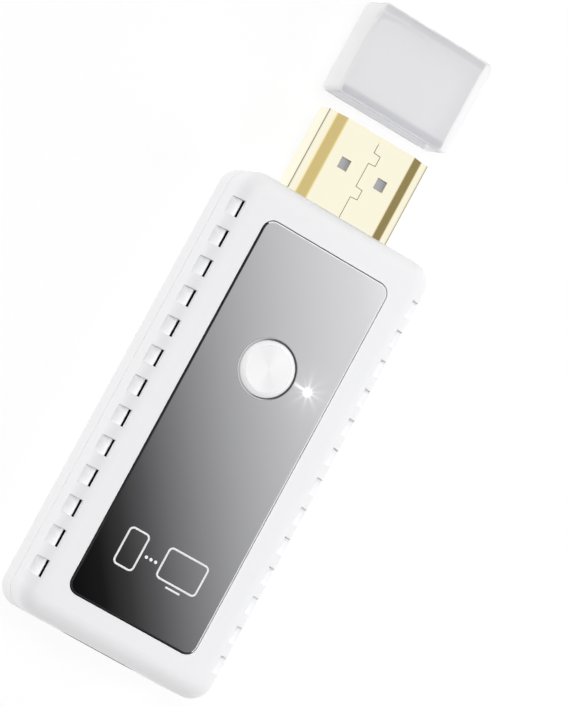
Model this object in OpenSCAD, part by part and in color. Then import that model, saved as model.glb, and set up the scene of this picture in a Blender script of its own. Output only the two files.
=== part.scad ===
// Wireless display adapter: a pocket-size white case with a mirror-finish panel, a push button,
// a gold plated video plug at one end, a power inlet at the other and a loose plug cap.
// X is the width, Y runs towards the plug, Z is up and the underside lies at Z = 0.

/* [Body] */
// Width of the case
body_w = 25.6; // [25.2:0.1:28]
// Length of the case, without the plug
body_l = 56; // [55:0.5:64]
// Height of the case
body_h = 11; // [10.8:0.1:13]
// Radius of the upright corners
corner_r = 2.6; // [2.5:0.1:3.4]
// Radius along the top edge
top_edge_r = 2.2; // [1.9:0.1:2.4]
// Radius along the bottom edge
bottom_edge_r = 2.4; // [1.2:0.1:2.5]
// Thickness of the shells
wall = 1.3; // [1.1:0.1:1.5]
// Thickness of the roof over the side channels
roof_t = 0.65; // [0.5:0.05:0.9]
// Share of the case's height at which the two shells meet
seam_share = 0.5; // [0.47:0.01:0.52]
// Width of the shadow line along the seam
seam_groove_h = 0.14; // [0.1:0.02:0.4]
// Depth of the shadow line along the seam
seam_groove_d = 0.12; // [0.1:0.02:0.3]
// Height of the lip that locates the shells
lip_h = 0.8; // [0.6:0.1:1]
// Clearance of each fit between mating pieces
fit_gap = 0.1; // [0.05:0.01:0.12]

/* [Vents] */
// Number of vents on each side
vent_count = 13; // [5:1:14]
// Distance of the outermost vents from the ends of the case
vent_end = 5.08; // [4.8:0.02:8]
// Length of each notch along the edge
notch_l = 2.15; // [1.6:0.05:2.6]
// Depth of each notch from the side face
notch_depth = 1.3; // [1:0.05:1.5]
// Drop of each notch floor below the top face
notch_drop = 1.9; // [1.7:0.05:2.1]
// Wall left behind each notch
vent_wall = 0.8; // [0.6:0.05:1]
// Height of the air slot in each notch
slot_h = 1.12; // [0.6:0.02:1.14]
// Height of the sill under each air slot
slot_sill = 0.06; // [0.04:0.01:0.1]

/* [Panel] */
// Width of the case's face left on each side of the mirror-finish panel
panel_side = 4.4; // [4:0.1:5.2]
// Length of the case's face left at each end of the panel
panel_end = 4.3; // [3.9:0.1:6]
// Thickness of the panel
panel_t = 1.2; // [1:0.1:1.5]
// Corner radius of the panel
panel_corner_r = 1.3; // [0.8:0.1:3]
// Height that the panel stands proud of the case
panel_proud = 0.15; // [0:0.05:0.4]
// Bevel round the panel's face
panel_bevel = 0.15; // [0.05:0.05:0.3]
// Gap round the panel
panel_gap = 0.12; // [0.08:0.02:0.2]
// Thickness of the adhesive frame under the panel
tape_t = 0.15; // [0.1:0.05:0.3]
// Width of the adhesive frame
tape_w = 1.6; // [1:0.1:3]
// Thickness of the deck under the panel
deck_t = 0.9; // [0.7:0.1:1]
// Width of the rim round the deck
deck_rim = 0.8; // [0.6:0.05:0.9]

/* [Button] */
// Distance of the button from the middle of the case
button_y = 8.8; // [6:0.1:14]
// Diameter of the button
button_d = 6.5; // [5.5:0.1:7]
// Diameter of the button's flat face
button_face_d = 5.45; // [4.6:0.05:5.5]
// Height of the button above the panel
button_rise = 0.5; // [0.45:0.05:1]
// Height of the bevel round the face
button_bevel_h = 0.42; // [0.2:0.02:0.45]
// Travel of the button
button_travel = 0.3; // [0.2:0.05:0.3]
// Gap round the button
button_gap = 0.15; // [0.1:0.05:0.3]
// Width of the trim ring round the button
ring_w = 0.2; // [0.15:0.05:0.4]
// Height that the trim ring stands proud of the panel
ring_proud = 0.05; // [0:0.01:0.1]
// Diameter of the flange that holds the button in
flange_d = 7.8; // [7.6:0.1:8.4]
// Thickness of that flange
flange_t = 0.5; // [0.4:0.05:0.6]
// Running gap round the flange
flange_gap = 0.4; // [0.3:0.05:0.6]
// Diameter of the button's stem
stem_d = 2.6; // [2:0.1:3.4]

/* [Light] */
// Distance of the status light from the button's flange
led_off = 1.6; // [1.5:0.1:2]
// Diameter of the light pipe's window
pipe_d = 0.9; // [0.6:0.05:1.2]
// Diameter of the light pipe's shoulder
pipe_foot_d = 1.8; // [1.4:0.1:2.2]
// Gap round the light pipe
pipe_gap = 0.05; // [0.03:0.01:0.1]
// Length of the light
led_l = 1.6; // [1.2:0.1:2]
// Width of the light
led_w = 0.8; // [0.6:0.1:1.2]
// Height of the light
led_h = 0.6; // [0.4:0.1:0.9]

/* [Switch] */
// Width of the push switch
switch_w = 4; // [3.6:0.1:5]
// Height of the push switch
switch_h = 1.5; // [1.4:0.1:1.7]
// Thickness of the switch's metal cover
switch_cover_t = 0.2; // [0.1:0.05:0.3]
// Diameter of the plunger
plunger_d = 2; // [1.6:0.1:2.2]
// Height of the plunger above the cover
plunger_rise = 0.5; // [0.4:0.05:0.6]
// Thickness of the plunger's collar
collar_t = 0.35; // [0.2:0.05:0.4]
// Width of the plunger's collar
collar_w = 0.4; // [0.3:0.05:0.5]
// Gap round the plunger
plunger_gap = 0.2; // [0.1:0.05:0.25]

/* [Video plug] */
// Width of the plug
plug_w = 13.9; // [13:0.1:15]
// Height of the plug
plug_h = 4.45; // [4.2:0.05:4.8]
// Length of the plug outside the case
plug_l = 10.5; // [9.5:0.1:12]
// Width of the plug's raised face
plug_face_w = 9.2; // [8.8:0.1:9.6]
// Width of each shoulder
plug_shoulder_w = 1.12; // [0.9:0.02:1.3]
// Drop of the shoulders below the raised face
plug_shoulder_drop = 0.81; // [0.6:0.01:1]
// Thickness of the plug's sheet
plug_sheet = 0.35; // [0.25:0.05:0.4]
// Bend radius of the sheet, measured outside
plug_bend_r = 0.45; // [0.3:0.05:0.6]
// Distance of the latch holes from the tip
latch_y = 4.8; // [4:0.1:6]
// Distance of the latch holes from the centre line
latch_x = 2.5; // [2:0.1:3]
// Width of a latch hole
latch_w = 1.25; // [1:0.05:1.6]
// Length of a latch hole
latch_l = 1.35; // [1:0.05:1.8]
// Width of the sheet's joint
joint_w = 0.07; // [0.04:0.01:0.15]
// Reach of the two keys in the joint
key_reach = 0.9; // [0.5:0.05:1.2]
// Length of each key
key_l = 1.35; // [1:0.05:1.6]
// Distance of the first key from the tip
key_y = 1.95; // [1.5:0.05:2.5]
// Distance between the keys
key_pitch = 4.35; // [3.5:0.05:4.8]
// Length of the plug inside the end wall
plug_seat = 2.7; // [2:0.1:3.5]
// Length of the ears that hold the board
ear_l = 3; // [2:0.1:3.6]
// Height of the ears
ear_h = 2.6; // [2:0.1:3.2]
// Recess of the plug's insulator from the tip
insulator_recess = 0.8; // [0.4:0.1:1.5]
// Width of the slot in the insulator
tongue_slot_w = 11.6; // [11.4:0.1:12]
// Height of the slot in the insulator
tongue_slot_h = 1.9; // [1.7:0.1:2.2]
// Depth of the slot in the insulator
tongue_slot_l = 7.6; // [6.5:0.1:8.5]
// Number of contacts in the upper row
contact_count = 10; // [4:1:10]
// Distance between contacts
contact_pitch = 1; // [0.9:0.05:1.1]
// Width of a contact
contact_w = 0.45; // [0.3:0.05:0.55]
// Thickness of a contact
contact_t = 0.2; // [0.1:0.05:0.25]
// Length of the contact tails on the board
tail_l = 1.4; // [1:0.1:2]

/* [Plug cap] */
// Width of the cap
cap_w = 15.4; // [15:0.1:16.4]
// Length of the cap
cap_l = 11.6; // [11.2:0.1:13]
// Height of the cap
cap_h = 5.9; // [5.6:0.1:6.6]
// Radius of the cap's upright corners
cap_corner_r = 0.8; // [0.6:0.1:1.5]
// Radius along the cap's other edges
cap_edge_r = 0.35; // [0.1:0.05:0.5]
// Clearance round the plug inside the cap
cap_gap = 0.12; // [0.08:0.01:0.2]
// Distance between the plug and the cap when it is off
cap_off = 2; // [1:0.1:12]
// Distance that the seated cap stops short of the case
cap_stop = 0.3; // [0.2:0.05:1]
// Clearance between the plug's tip and the closed end
cap_end_gap = 0.3; // [0.2:0.05:0.5]

/* [Power inlet] */
// Width of the inlet
inlet_w = 8.94; // [8.8:0.02:9.2]
// Height of the inlet
inlet_h = 3.26; // [3.16:0.02:3.4]
// Length of the inlet
inlet_l = 7.35; // [7:0.05:8]
// Thickness of the inlet's sheet
inlet_sheet = 0.3; // [0.2:0.05:0.35]
// Recess of the inlet's mouth from the end face
inlet_recess = 0.2; // [0:0.05:0.6]
// Gap round the inlet in the end wall
inlet_gap = 0.12; // [0.08:0.01:0.2]
// Depth of the chamfer round the inlet's opening
inlet_chamfer = 0.3; // [0.1:0.05:0.4]
// Width of the inlet's tongue
tongue_w = 6.69; // [6.4:0.01:6.9]
// Thickness of the tongue
tongue_t = 0.7; // [0.6:0.02:0.8]
// Length of the tongue in front of its base
tongue_l = 4.45; // [4:0.05:4.8]
// Length of the tongue's base
tongue_base_l = 2; // [1.5:0.1:2.4]
// Number of contacts on each face of the tongue
pad_count = 12; // [4:1:12]
// Distance between those contacts
pad_pitch = 0.5; // [0.4:0.01:0.54]
// Width of those contacts
pad_w = 0.25; // [0.2:0.01:0.3]
// Length of those contacts
pad_l = 3.5; // [2.5:0.1:3.8]
// Thickness of those contacts
pad_t = 0.08; // [0.05:0.01:0.12]
// Length of the inlet's tabs
tab_l = 1.2; // [0.8:0.1:1.8]
// Width of the inlet's tabs
tab_w = 1; // [0.8:0.1:1.4]

/* [Board] */
// Thickness of the board
board_t = 1; // [0.8:0.1:1.2]
// Gap between the board and the shell's side
board_gap = 0.3; // [0.2:0.05:0.5]
// Distance of the locating posts from the board's sides
post_in = 2.2; // [2:0.1:2.6]
// Clearance between the posts and the plug's ears
post_gap = 0.3; // [0.2:0.1:1]
// Distance of the posts at the inlet's end from the end of the case
post_end = 5.5; // [4.6:0.1:7]
// Diameter of the posts
post_d = 2.6; // [2.2:0.1:3]
// Diameter of the pins on the posts
pin_d = 1.2; // [0.9:0.1:1.3]
// Height of the pins above the board
pin_rise = 0.6; // [0.4:0.1:0.8]
// Clearance round the pins
pin_gap = 0.15; // [0.1:0.05:0.2]

/* [Processor] */
// Width of the processor
chip_w = 10; // [8:0.1:11]
// Share of the case's length that the processor lies behind the middle
chip_share = 0.0625; // [0.05:0.0025:0.08]
// Share of the height over the board that the processor takes
chip_h_share = 0.31; // [0.24:0.01:0.34]
// Share of that height that the thermal pad takes
pad_h_share = 0.14; // [0.1:0.01:0.17]
// Width of the heat sink
sink_w = 12; // [10:0.1:13]
// Share of that height that the heat sink's base takes
base_h_share = 0.155; // [0.1:0.005:0.17]
// Share of that height that the heat sink's fins take
fin_h_share = 0.26; // [0.17:0.01:0.28]
// Number of fins
sink_fin_count = 7; // [4:1:9]
// Thickness of a fin
sink_fin_t = 0.6; // [0.4:0.05:0.8]

/* [Hidden] */
$fn = 64;

// Extra length that carries each cut clear of the face it opens
overrun = 0.5;
// Segments in each rounded corner of the plug's outline
bend_steps = 5;
// Smallest corner radius inside the shells
inner_r_min = 0.4;

// Heights of the stack, from the underside up
seam_z = body_h * seam_share;
board_bottom = seam_z - board_t / 2;
board_top = seam_z + board_t / 2;
panel_top = body_h + panel_proud;
panel_bottom = panel_top - panel_t;
recess_z = panel_bottom - tape_t;
deck_z = recess_z - deck_t;
notch_z = body_h - notch_drop;
switch_top = board_top + switch_h;
plunger_top = switch_top + plunger_rise;
flange_top = panel_bottom - fit_gap;

// Plan of the panel and the light
panel_w = body_w - 2 * panel_side;
panel_l = body_l - 2 * panel_end;
led_x = flange_d / 2 + led_off;

// Plan of the vents
vent_pitch = (body_l - 2 * vent_end) / (vent_count - 1);
notch_x = body_w / 2 - notch_depth;
channel_inset = notch_depth + vent_wall;
vent_row = body_l - 2 * vent_end;

// Ends of the board, the plug and the inlet
end_y = body_l / 2;
board_y0 = -(end_y - wall - board_gap);
board_y1 = end_y - wall - plug_seat;
board_w = body_w - 2 * (wall + board_gap);
plug_tip = end_y + plug_l;
plug_back = board_y1 + fit_gap;
inlet_mouth = -(end_y - inlet_recess);
inlet_back = inlet_mouth + inlet_l;

// Places of the locating posts
post_x = board_w / 2 - post_in;
post_plug_y = plug_back - ear_l - post_d / 2 - post_gap;
post_inlet_y = end_y - post_end;

// Cap at its place beside the plug
cap_mouth = plug_tip + cap_off;
cap_depth = plug_l - cap_stop + cap_end_gap;

// Snap beads on the lip
snap_l = 5;
snap_h = 0.3;
snap_out = 0.15;
snap_share = 0.42;

// Processor and heat sink
bay_h = deck_z - board_top;
chip_y = -body_l * chip_share;
chip_h = bay_h * chip_h_share;
pad_thermal_t = bay_h * pad_h_share;
sink_base_t = bay_h * base_h_share;
sink_fin_h = bay_h * fin_h_share;

// Bays for the small parts: behind the heat sink, beside it and in front of it
rear_bay = [inlet_back, chip_y - sink_w / 2];
side_bay = [chip_y - sink_w / 2, chip_y + sink_w / 2];
front_bay = [chip_y + sink_w / 2, post_plug_y - post_d / 2];

// Small parts: shares of the board's width, the bay's length and the height over the board
memory_shares = [0.357, 0.511, 0.276];
memory_place_shares = [-0.214, 0.162];
shield_shares = [0.384, 0.676, 0.517];
shield_place_shares = [0.241, 0.034];
shield_sheet = 0.2;
radio_shares = [0.223, 0.457, 0.276];
antenna_shares = [0.054, 0.731, 0.48];
antenna_place_shares = [-0.442, 0.089];
antenna_t = 0.25;
antenna_foot_share = 0.125;
crystal_shares = [0.143, 0.208, 0.241];
crystal_place_shares = [0.35, 0.36];
capacitor_shares = [0.045, 0.042, 0.172];
capacitor_place_shares = [[0.42, -0.04], [-0.42, 0.1]];
capacitor_pitch_share = 0.1;
capacitor_count = 6;
resistor_shares = [0.045, 0.042, 0.12];
resistor_place_shares = [[0.205, 0], [-0.205, 0]];
resistor_pitch_share = 0.12;
resistor_count = 8;
flash_shares = [0.179, 0.255, 0.345];
flash_place_shares = [-0.339, -0.373];
flash_lead_shares = [0.016, 0.045, 0.069];
flash_lead_pitch_share = 0.238;
flash_lead_count = 4;
inductor_shares = [0.134, 0.191, 0.483];
inductor_place_shares = [[-0.366, 0.118], [0.366, 0.194]];
regulator_shares = [0.134, 0.166, 0.31];
regulator_place_shares = [-0.366, 0.398];

// Size and place on the board from their shares
function part_size(shares, bay) =
    [shares.x * board_w, shares.y * (bay[1] - bay[0]), shares.z * bay_h];
function part_place(shares, bay) =
    [shares.x * board_w, (bay[0] + bay[1]) / 2 + shares.y * (bay[1] - bay[0])];

// Rounded rectangle in plan
module round_rect(w, l, r) {
    square([w - 2 * r, l], center = true);
    square([w, l - 2 * r], center = true);
    for (sx = [-1, 1], sy = [-1, 1])
        translate([sx * (w / 2 - r), sy * (l / 2 - r)]) circle(r = r);
}

// Upright block with the case's plan, drawn in by inset
module plan_block(inset, z0, z1) {
    r = max(corner_r - inset, inner_r_min);
    translate([0, 0, z0])
        linear_extrude(z1 - z0) round_rect(body_w - 2 * inset, body_l - 2 * inset, r);
}

// Half section of a block's edge, rounded at its top and bottom outer corners
module edge_section(reach, h, top_r, bottom_r) {
    translate([0, bottom_r]) square([reach, h - top_r - bottom_r]);
    square([reach - bottom_r, h - top_r]);
    translate([0, bottom_r]) square([reach - top_r, h - bottom_r]);
    if (top_r > 0)
        translate([reach - top_r, h - top_r]) intersection() {
            circle(r = top_r);
            square(top_r);
        }
    if (bottom_r > 0)
        translate([reach - bottom_r, 0]) intersection() {
            translate([0, bottom_r]) circle(r = bottom_r);
            square(bottom_r);
        }
}

// Half section of a block's edge with a bevel round its top
module bevel_section(reach, h, bevel) {
    polygon([[0, 0], [reach, 0], [reach, h - bevel], [reach - bevel, h], [0, h]]);
}

// Block whose edge section runs round a rounded rectangle
module plan_sweep(w, l, corner, h) {
    x = w / 2 - corner;
    y = l / 2 - corner;
    for (sx = [-1, 1], sy = [-1, 1])
        translate([sx * x, sy * y, 0]) rotate_extrude() children();
    for (s = [0, 1]) {
        rotate([0, 0, 180 * s]) translate([x, 0, 0])
            rotate([90, 0, 0]) linear_extrude(2 * y, center = true) children();
        rotate([0, 0, 180 * s]) translate([0, y, 0])
            rotate([90, 0, 90]) linear_extrude(2 * x, center = true) children();
    }
    translate([-x, -y, 0]) cube([2 * x, 2 * y, h]);
}

// Outside of the closed case
module body_blank() {
    plan_sweep(body_w, body_l, corner_r, body_h)
        edge_section(corner_r, body_h, top_edge_r, bottom_edge_r);
}

// Everything below a height
module below(z) {
    translate([-body_w, -body_l, -body_h]) cube([2 * body_w, 2 * body_l, body_h + z]);
}

// Outline of the plug seen from its tip, with its raised face up
plug_outline = [
    [-plug_w / 2, -plug_h / 2],
    [plug_w / 2, -plug_h / 2],
    [plug_w / 2, plug_h / 2 - plug_shoulder_drop],
    [plug_w / 2 - plug_shoulder_w, plug_h / 2 - plug_shoulder_drop],
    [plug_face_w / 2, plug_h / 2],
    [-plug_face_w / 2, plug_h / 2],
    [-plug_w / 2 + plug_shoulder_w, plug_h / 2 - plug_shoulder_drop],
    [-plug_w / 2, plug_h / 2 - plug_shoulder_drop]
];

function unit(v) = v / norm(v);
function left_of(v) = [-v.y, v.x];

// Point where two edges meet once each has moved outwards by d
function moved_corner(a, b, c, d) =
    let (n = -left_of(unit(b - a)), m = -left_of(unit(c - b)))
    b + d * (n + m) / (1 + n * m);

// Outline moved outwards by d, or inwards where d is negative
function grown(points, d) =
    let (last = len(points))
    [for (i = [0:last - 1])
        moved_corner(points[(i + last - 1) % last], points[i], points[(i + 1) % last], d)];

// Arc that rounds the corner b between a and c
function corner_arc(a, b, c, r) =
    let (
        u = unit(a - b),
        v = unit(c - b),
        half = acos(u * v) / 2,
        centre = b + unit(u + v) * r / sin(half),
        from = b + u * r / tan(half) - centre,
        to = b + v * r / tan(half) - centre,
        start = atan2(from.y, from.x),
        turn = (atan2(to.y, to.x) - start + 540) % 360 - 180
    )
    [for (k = [0:bend_steps])
        centre + r * [cos(start + turn * k / bend_steps), sin(start + turn * k / bend_steps)]];

function rounded(points, r) =
    let (last = len(points))
    [for (i = [0:last - 1])
        each corner_arc(points[(i + last - 1) % last], points[i], points[(i + 1) % last], r)];

// Length of the plug's outline between two places along Y, moved outwards by grow
module plug_prism(grow, y0, y1) {
    translate([0, y1, seam_z]) rotate([90, 0, 0])
        linear_extrude(y1 - y0) polygon(rounded(grown(plug_outline, grow), plug_bend_r + grow));
}

// Oval seen along Y, as wide and high as given
module oval(w, h) {
    square([w - h, h], center = true);
    for (s = [-1, 1])
        translate([s * (w - h) / 2, 0]) circle(d = h);
}

// Length of the inlet's oval between two places along Y, moved outwards by grow
module inlet_prism(grow, y0, y1) {
    translate([0, y1, seam_z]) rotate([90, 0, 0])
        linear_extrude(y1 - y0) oval(inlet_w + 2 * grow, inlet_h + 2 * grow);
}

// Openings for the plug and the inlet in the end walls
module end_openings() {
    plug_prism(fit_gap, end_y - wall - overrun, end_y + overrun);
    inlet_prism(inlet_gap, -end_y - overrun, -end_y + wall + overrun);
    inlet_prism(inlet_gap + inlet_chamfer, -end_y - overrun, -end_y + inlet_recess);
}

// One copy of what stands at each locating post
module at_posts() {
    for (s = [-1, 1]) {
        translate([s * post_x, post_plug_y, 0]) children();
        translate([s * post_x, -post_inlet_y, 0]) children();
    }
}

// One copy for each vent on each side, mirrored to the left
module at_vents() {
    for (side = [0, 1], i = [0:vent_count - 1])
        mirror([side, 0, 0]) translate([notch_x, i * vent_pitch - vent_row / 2, notch_z])
            children();
}

// Hollow of the shells
module shell_hollow() {
    step_z = notch_z - vent_wall;
    r = max(min(bottom_edge_r, corner_r) - wall, inner_r_min);
    translate([0, 0, wall])
        plan_sweep(body_w - 2 * wall, body_l - 2 * wall, max(corner_r - wall, r), step_z - wall)
            edge_section(max(corner_r - wall, r), step_z - wall, 0, r);
    plan_block(channel_inset, step_z - overrun, body_h - roof_t);
}

// Deck that carries the panel, with its rim
module deck_block() {
    rim = panel_gap + deck_rim;
    translate([0, 0, deck_z]) linear_extrude(body_h - deck_z)
        round_rect(panel_w + 2 * rim, panel_l + 2 * rim, panel_corner_r + rim);
}

// One notch with its air slot
module vent_cut() {
    translate([0, -notch_l / 2, 0])
        cube([notch_depth + overrun, notch_l, notch_drop + overrun]);
    translate([-vent_wall - overrun, -notch_l / 2, slot_sill])
        cube([vent_wall + 2 * overrun, notch_l, slot_h]);
}

module top_shell() {
    lip_inset = wall / 2;
    color("whitesmoke") difference() {
        union() {
            difference() {
                body_blank();
                difference() {
                    shell_hollow();
                    deck_block();
                }
            }
            at_posts() translate([0, 0, board_top + fit_gap])
                cylinder(d = post_d, h = body_h - roof_t / 2 - board_top - fit_gap);
        }
        below(seam_z);
        // rebate for the lip
        difference() {
            plan_block(lip_inset, seam_z - overrun, seam_z + lip_h + fit_gap);
            plan_block(wall + overrun, seam_z - 2 * overrun, seam_z + lip_h + 2 * overrun);
        }
        // shadow line
        difference() {
            plan_block(-overrun, seam_z - overrun, seam_z + seam_groove_h);
            plan_block(seam_groove_d, seam_z - 2 * overrun, seam_z + 2 * overrun);
        }
        // grooves for the snap beads
        for (sx = [-1, 1], sy = [-1, 1])
            translate([sx * (body_w / 2 - lip_inset), sy * snap_share * end_y, seam_z + lip_h / 2])
                cube([2 * snap_out, snap_l + 2 * fit_gap, snap_h + 2 * fit_gap], center = true);
        // recess for the panel
        translate([0, 0, recess_z]) linear_extrude(body_h - recess_z + overrun)
            round_rect(panel_w + 2 * panel_gap, panel_l + 2 * panel_gap, panel_corner_r + panel_gap);
        // holes for the button and the light pipe
        translate([0, button_y, deck_z - overrun])
            cylinder(d = flange_d + 2 * flange_gap, h = deck_t + 2 * overrun);
        translate([led_x, button_y, deck_z - overrun])
            cylinder(d = pipe_d + 2 * pipe_gap, h = deck_t + 2 * overrun);
        at_posts() translate([0, 0, board_top])
            cylinder(d = pin_d + 2 * pin_gap, h = pin_rise + 2 * fit_gap);
        at_vents() vent_cut();
        end_openings();
    }
}

module bottom_shell() {
    lip_outset = wall / 2 + fit_gap;
    color("white") difference() {
        union() {
            difference() {
                body_blank();
                shell_hollow();
                translate([0, 0, body_h + seam_z]) mirror([0, 0, 1]) below(body_h);
            }
            // lip
            difference() {
                plan_block(lip_outset, seam_z - lip_h, seam_z + lip_h);
                plan_block(wall, seam_z - 2 * lip_h, seam_z + 2 * lip_h);
            }
            for (sx = [-1, 1], sy = [-1, 1])
                translate([sx * (body_w / 2 - lip_outset), sy * snap_share * end_y, seam_z + lip_h / 2])
                    cube([2 * snap_out, snap_l, snap_h], center = true);
            at_posts() translate([0, 0, wall / 2]) cylinder(d = post_d, h = board_bottom - wall / 2);
            at_posts() translate([0, 0, wall / 2])
                cylinder(d = pin_d, h = board_top + pin_rise - wall / 2);
        }
        end_openings();
    }
}

module face_panel() {
    color("dimgray") difference() {
        translate([0, 0, panel_bottom]) plan_sweep(panel_w, panel_l, panel_corner_r, panel_t)
            bevel_section(panel_corner_r, panel_t, panel_bevel);
        translate([0, button_y, panel_bottom - overrun])
            cylinder(d = button_d + 2 * (button_gap + ring_w), h = panel_t + 2 * overrun);
        translate([led_x, button_y, panel_bottom - overrun])
            cylinder(d = pipe_d + 2 * pipe_gap, h = panel_t + 2 * overrun);
    }
}

module panel_tape() {
    color("black") translate([0, 0, recess_z]) linear_extrude(tape_t) difference() {
        round_rect(panel_w, panel_l, panel_corner_r);
        square([panel_w - 2 * tape_w, panel_l - 2 * tape_w], center = true);
    }
}

module button_cap() {
    rise = panel_top + button_rise - flange_top;
    color("silver") translate([0, button_y, flange_top]) rotate_extrude()
        polygon([[0, 0], [button_d / 2, 0], [button_d / 2, rise - button_bevel_h],
            [button_face_d / 2, rise], [0, rise]]);
}

module button_stem() {
    color("lightgray") translate([0, button_y, 0]) {
        translate([0, 0, flange_top - flange_t]) cylinder(d = flange_d, h = flange_t);
        translate([0, 0, plunger_top]) cylinder(d = stem_d, h = flange_top - flange_t / 2 - plunger_top);
    }
}

module button_ring() {
    color("gainsboro") translate([0, button_y, panel_bottom]) difference() {
        cylinder(d = button_d + 2 * (button_gap + ring_w), h = panel_t + ring_proud);
        translate([0, 0, -overrun])
            cylinder(d = button_d + 2 * button_gap, h = panel_t + 2 * overrun);
    }
}

module light_pipe() {
    color("aliceblue") translate([led_x, button_y, 0]) {
        translate([0, 0, board_top + led_h + fit_gap])
            cylinder(d = pipe_foot_d, h = deck_z - board_top - led_h - fit_gap);
        translate([0, 0, deck_z - pipe_gap]) cylinder(d = pipe_d, h = panel_top - deck_z + pipe_gap);
    }
}

// Block that stands on the board, or hangs under it, centred at a place
module board_part(size, at, under = false) {
    z = under ? board_bottom - size.z : board_top;
    translate([at.x - size.x / 2, at.y - size.y / 2, z]) cube(size);
}

module status_led() {
    color("white") board_part([led_w, led_l, led_h], [led_x, button_y]);
}

module switch_body() {
    h = switch_h - switch_cover_t;
    pocket = plunger_d + 2 * (collar_w + plunger_gap);
    floor_t = h - collar_t - button_travel - 2 * fit_gap;
    color("dimgray") difference() {
        board_part([switch_w, switch_w, h], [0, button_y]);
        translate([0, button_y, board_top + floor_t]) cylinder(d = pocket, h = h);
    }
}

module switch_cover() {
    color("silver") difference() {
        translate([0, 0, switch_h - switch_cover_t])
            board_part([switch_w, switch_w, switch_cover_t], [0, button_y]);
        translate([0, button_y, switch_top - switch_cover_t - overrun])
            cylinder(d = plunger_d + 2 * plunger_gap, h = switch_cover_t + 2 * overrun);
    }
}

module switch_plunger() {
    collar_top = switch_top - switch_cover_t - fit_gap;
    color("black") translate([0, button_y, 0]) {
        translate([0, 0, collar_top - collar_t])
            cylinder(d = plunger_d + 2 * collar_w, h = collar_t);
        translate([0, 0, collar_top - collar_t])
            cylinder(d = plunger_d, h = plunger_top - collar_top + collar_t);
    }
}

module main_board() {
    ear_x = plug_w / 2 - plug_sheet;
    inlet_cut_w = inlet_w + 2 * board_gap;
    color("darkgreen") difference() {
        translate([0, (board_y0 + board_y1) / 2, board_bottom])
            linear_extrude(board_t) round_rect(board_w, board_y1 - board_y0, corner_r - wall);
        translate([-inlet_cut_w / 2, board_y0 - overrun, board_bottom - overrun])
            cube([inlet_cut_w, inlet_back + board_gap - board_y0 + overrun, board_t + 2 * overrun]);
        for (s = [-1, 1])
            translate([s * (ear_x + plug_sheet / 2), board_y1 - ear_l, board_bottom + board_t / 2])
                cube([plug_sheet + 2 * fit_gap, 2 * (ear_l + fit_gap), board_t + 2 * overrun], center = true);
        at_posts() translate([0, 0, board_bottom - overrun])
            cylinder(d = pin_d + 2 * pin_gap, h = board_t + 2 * overrun);
    }
}

// Joint of the plug's sheet: a thin line that steps out round two keys
module sheet_joint() {
    reach = key_reach / 2;
    foot = plug_tip - plug_back + overrun;
    y1 = -key_y;
    y2 = -key_y - key_l;
    y3 = y1 - key_pitch;
    y4 = y2 - key_pitch;
    path = [[0, overrun], [0, y1], [2 * reach, y1 - joint_w], [2 * reach, y2 + joint_w], [0, y2],
        [0, y3], [2 * reach, y3 - joint_w], [2 * reach, y4 + joint_w], [0, y4], [0, -foot]];
    for (i = [0:len(path) - 2]) {
        step = path[i + 1] - path[i];
        translate(path[i]) rotate(atan2(step.y, step.x))
            translate([-joint_w / 2, -joint_w / 2]) square([norm(step) + joint_w, joint_w]);
    }
}

module plug_shell() {
    top_z = seam_z + plug_h / 2;
    color("gold") difference() {
        union() {
            difference() {
                plug_prism(0, plug_back, plug_tip);
                plug_prism(-plug_sheet, plug_back - overrun, plug_tip + overrun);
            }
            for (s = [-1, 1])
                translate([s * (plug_w - plug_sheet) / 2, plug_back - (ear_l - plug_bend_r) / 2, seam_z])
                    cube([plug_sheet, ear_l + plug_bend_r, ear_h], center = true);
        }
        for (s = [-1, 1])
            translate([s * latch_x - latch_w / 2, plug_tip - latch_y - latch_l / 2,
                top_z - plug_sheet - overrun])
                cube([latch_w, latch_l, plug_sheet + 2 * overrun]);
        translate([0, plug_tip, top_z - plug_sheet - overrun / 2])
            linear_extrude(plug_sheet + overrun) sheet_joint();
    }
}

// Contacts in one row, as cutters or as solids
module contact_row(count, side, gap) {
    z = seam_z + side * (board_t / 2 + contact_t / 2);
    y0 = board_y1 - tail_l;
    y1 = plug_tip - insulator_recess - contact_w;
    for (i = [0:count - 1])
        translate([(i - (count - 1) / 2) * contact_pitch, (y0 + y1) / 2, z])
            cube([contact_w + 2 * gap, y1 - y0 + 2 * gap, contact_t + 2 * gap], center = true);
}

module plug_insulator() {
    front = plug_tip - insulator_recess;
    color("#26262a") difference() {
        plug_prism(-plug_sheet - fit_gap / 2, plug_back, front);
        translate([-tongue_slot_w / 2, front - tongue_slot_l, seam_z - tongue_slot_h / 2])
            cube([tongue_slot_w, tongue_slot_l + overrun, tongue_slot_h]);
        contact_row(contact_count, 1, fit_gap / 4);
        contact_row(contact_count - 1, -1, fit_gap / 4);
    }
}

module plug_contacts_upper() {
    color("goldenrod") contact_row(contact_count, 1, 0);
}

module plug_contacts_lower() {
    color("goldenrod") contact_row(contact_count - 1, -1, 0);
}

module plug_cap() {
    hollow_w = plug_w + 2 * cap_gap;
    hollow_h = plug_h + 2 * cap_gap;
    color([0.86, 0.87, 0.88, 0.6]) difference() {
        translate([0, cap_mouth + cap_l / 2, seam_z - cap_h / 2])
            plan_sweep(cap_w, cap_l, cap_corner_r, cap_h)
                edge_section(cap_corner_r, cap_h, cap_edge_r, cap_edge_r);
        translate([-hollow_w / 2, cap_mouth - overrun, seam_z - hollow_h / 2])
            cube([hollow_w, cap_depth + overrun, hollow_h]);
    }
}

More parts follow.
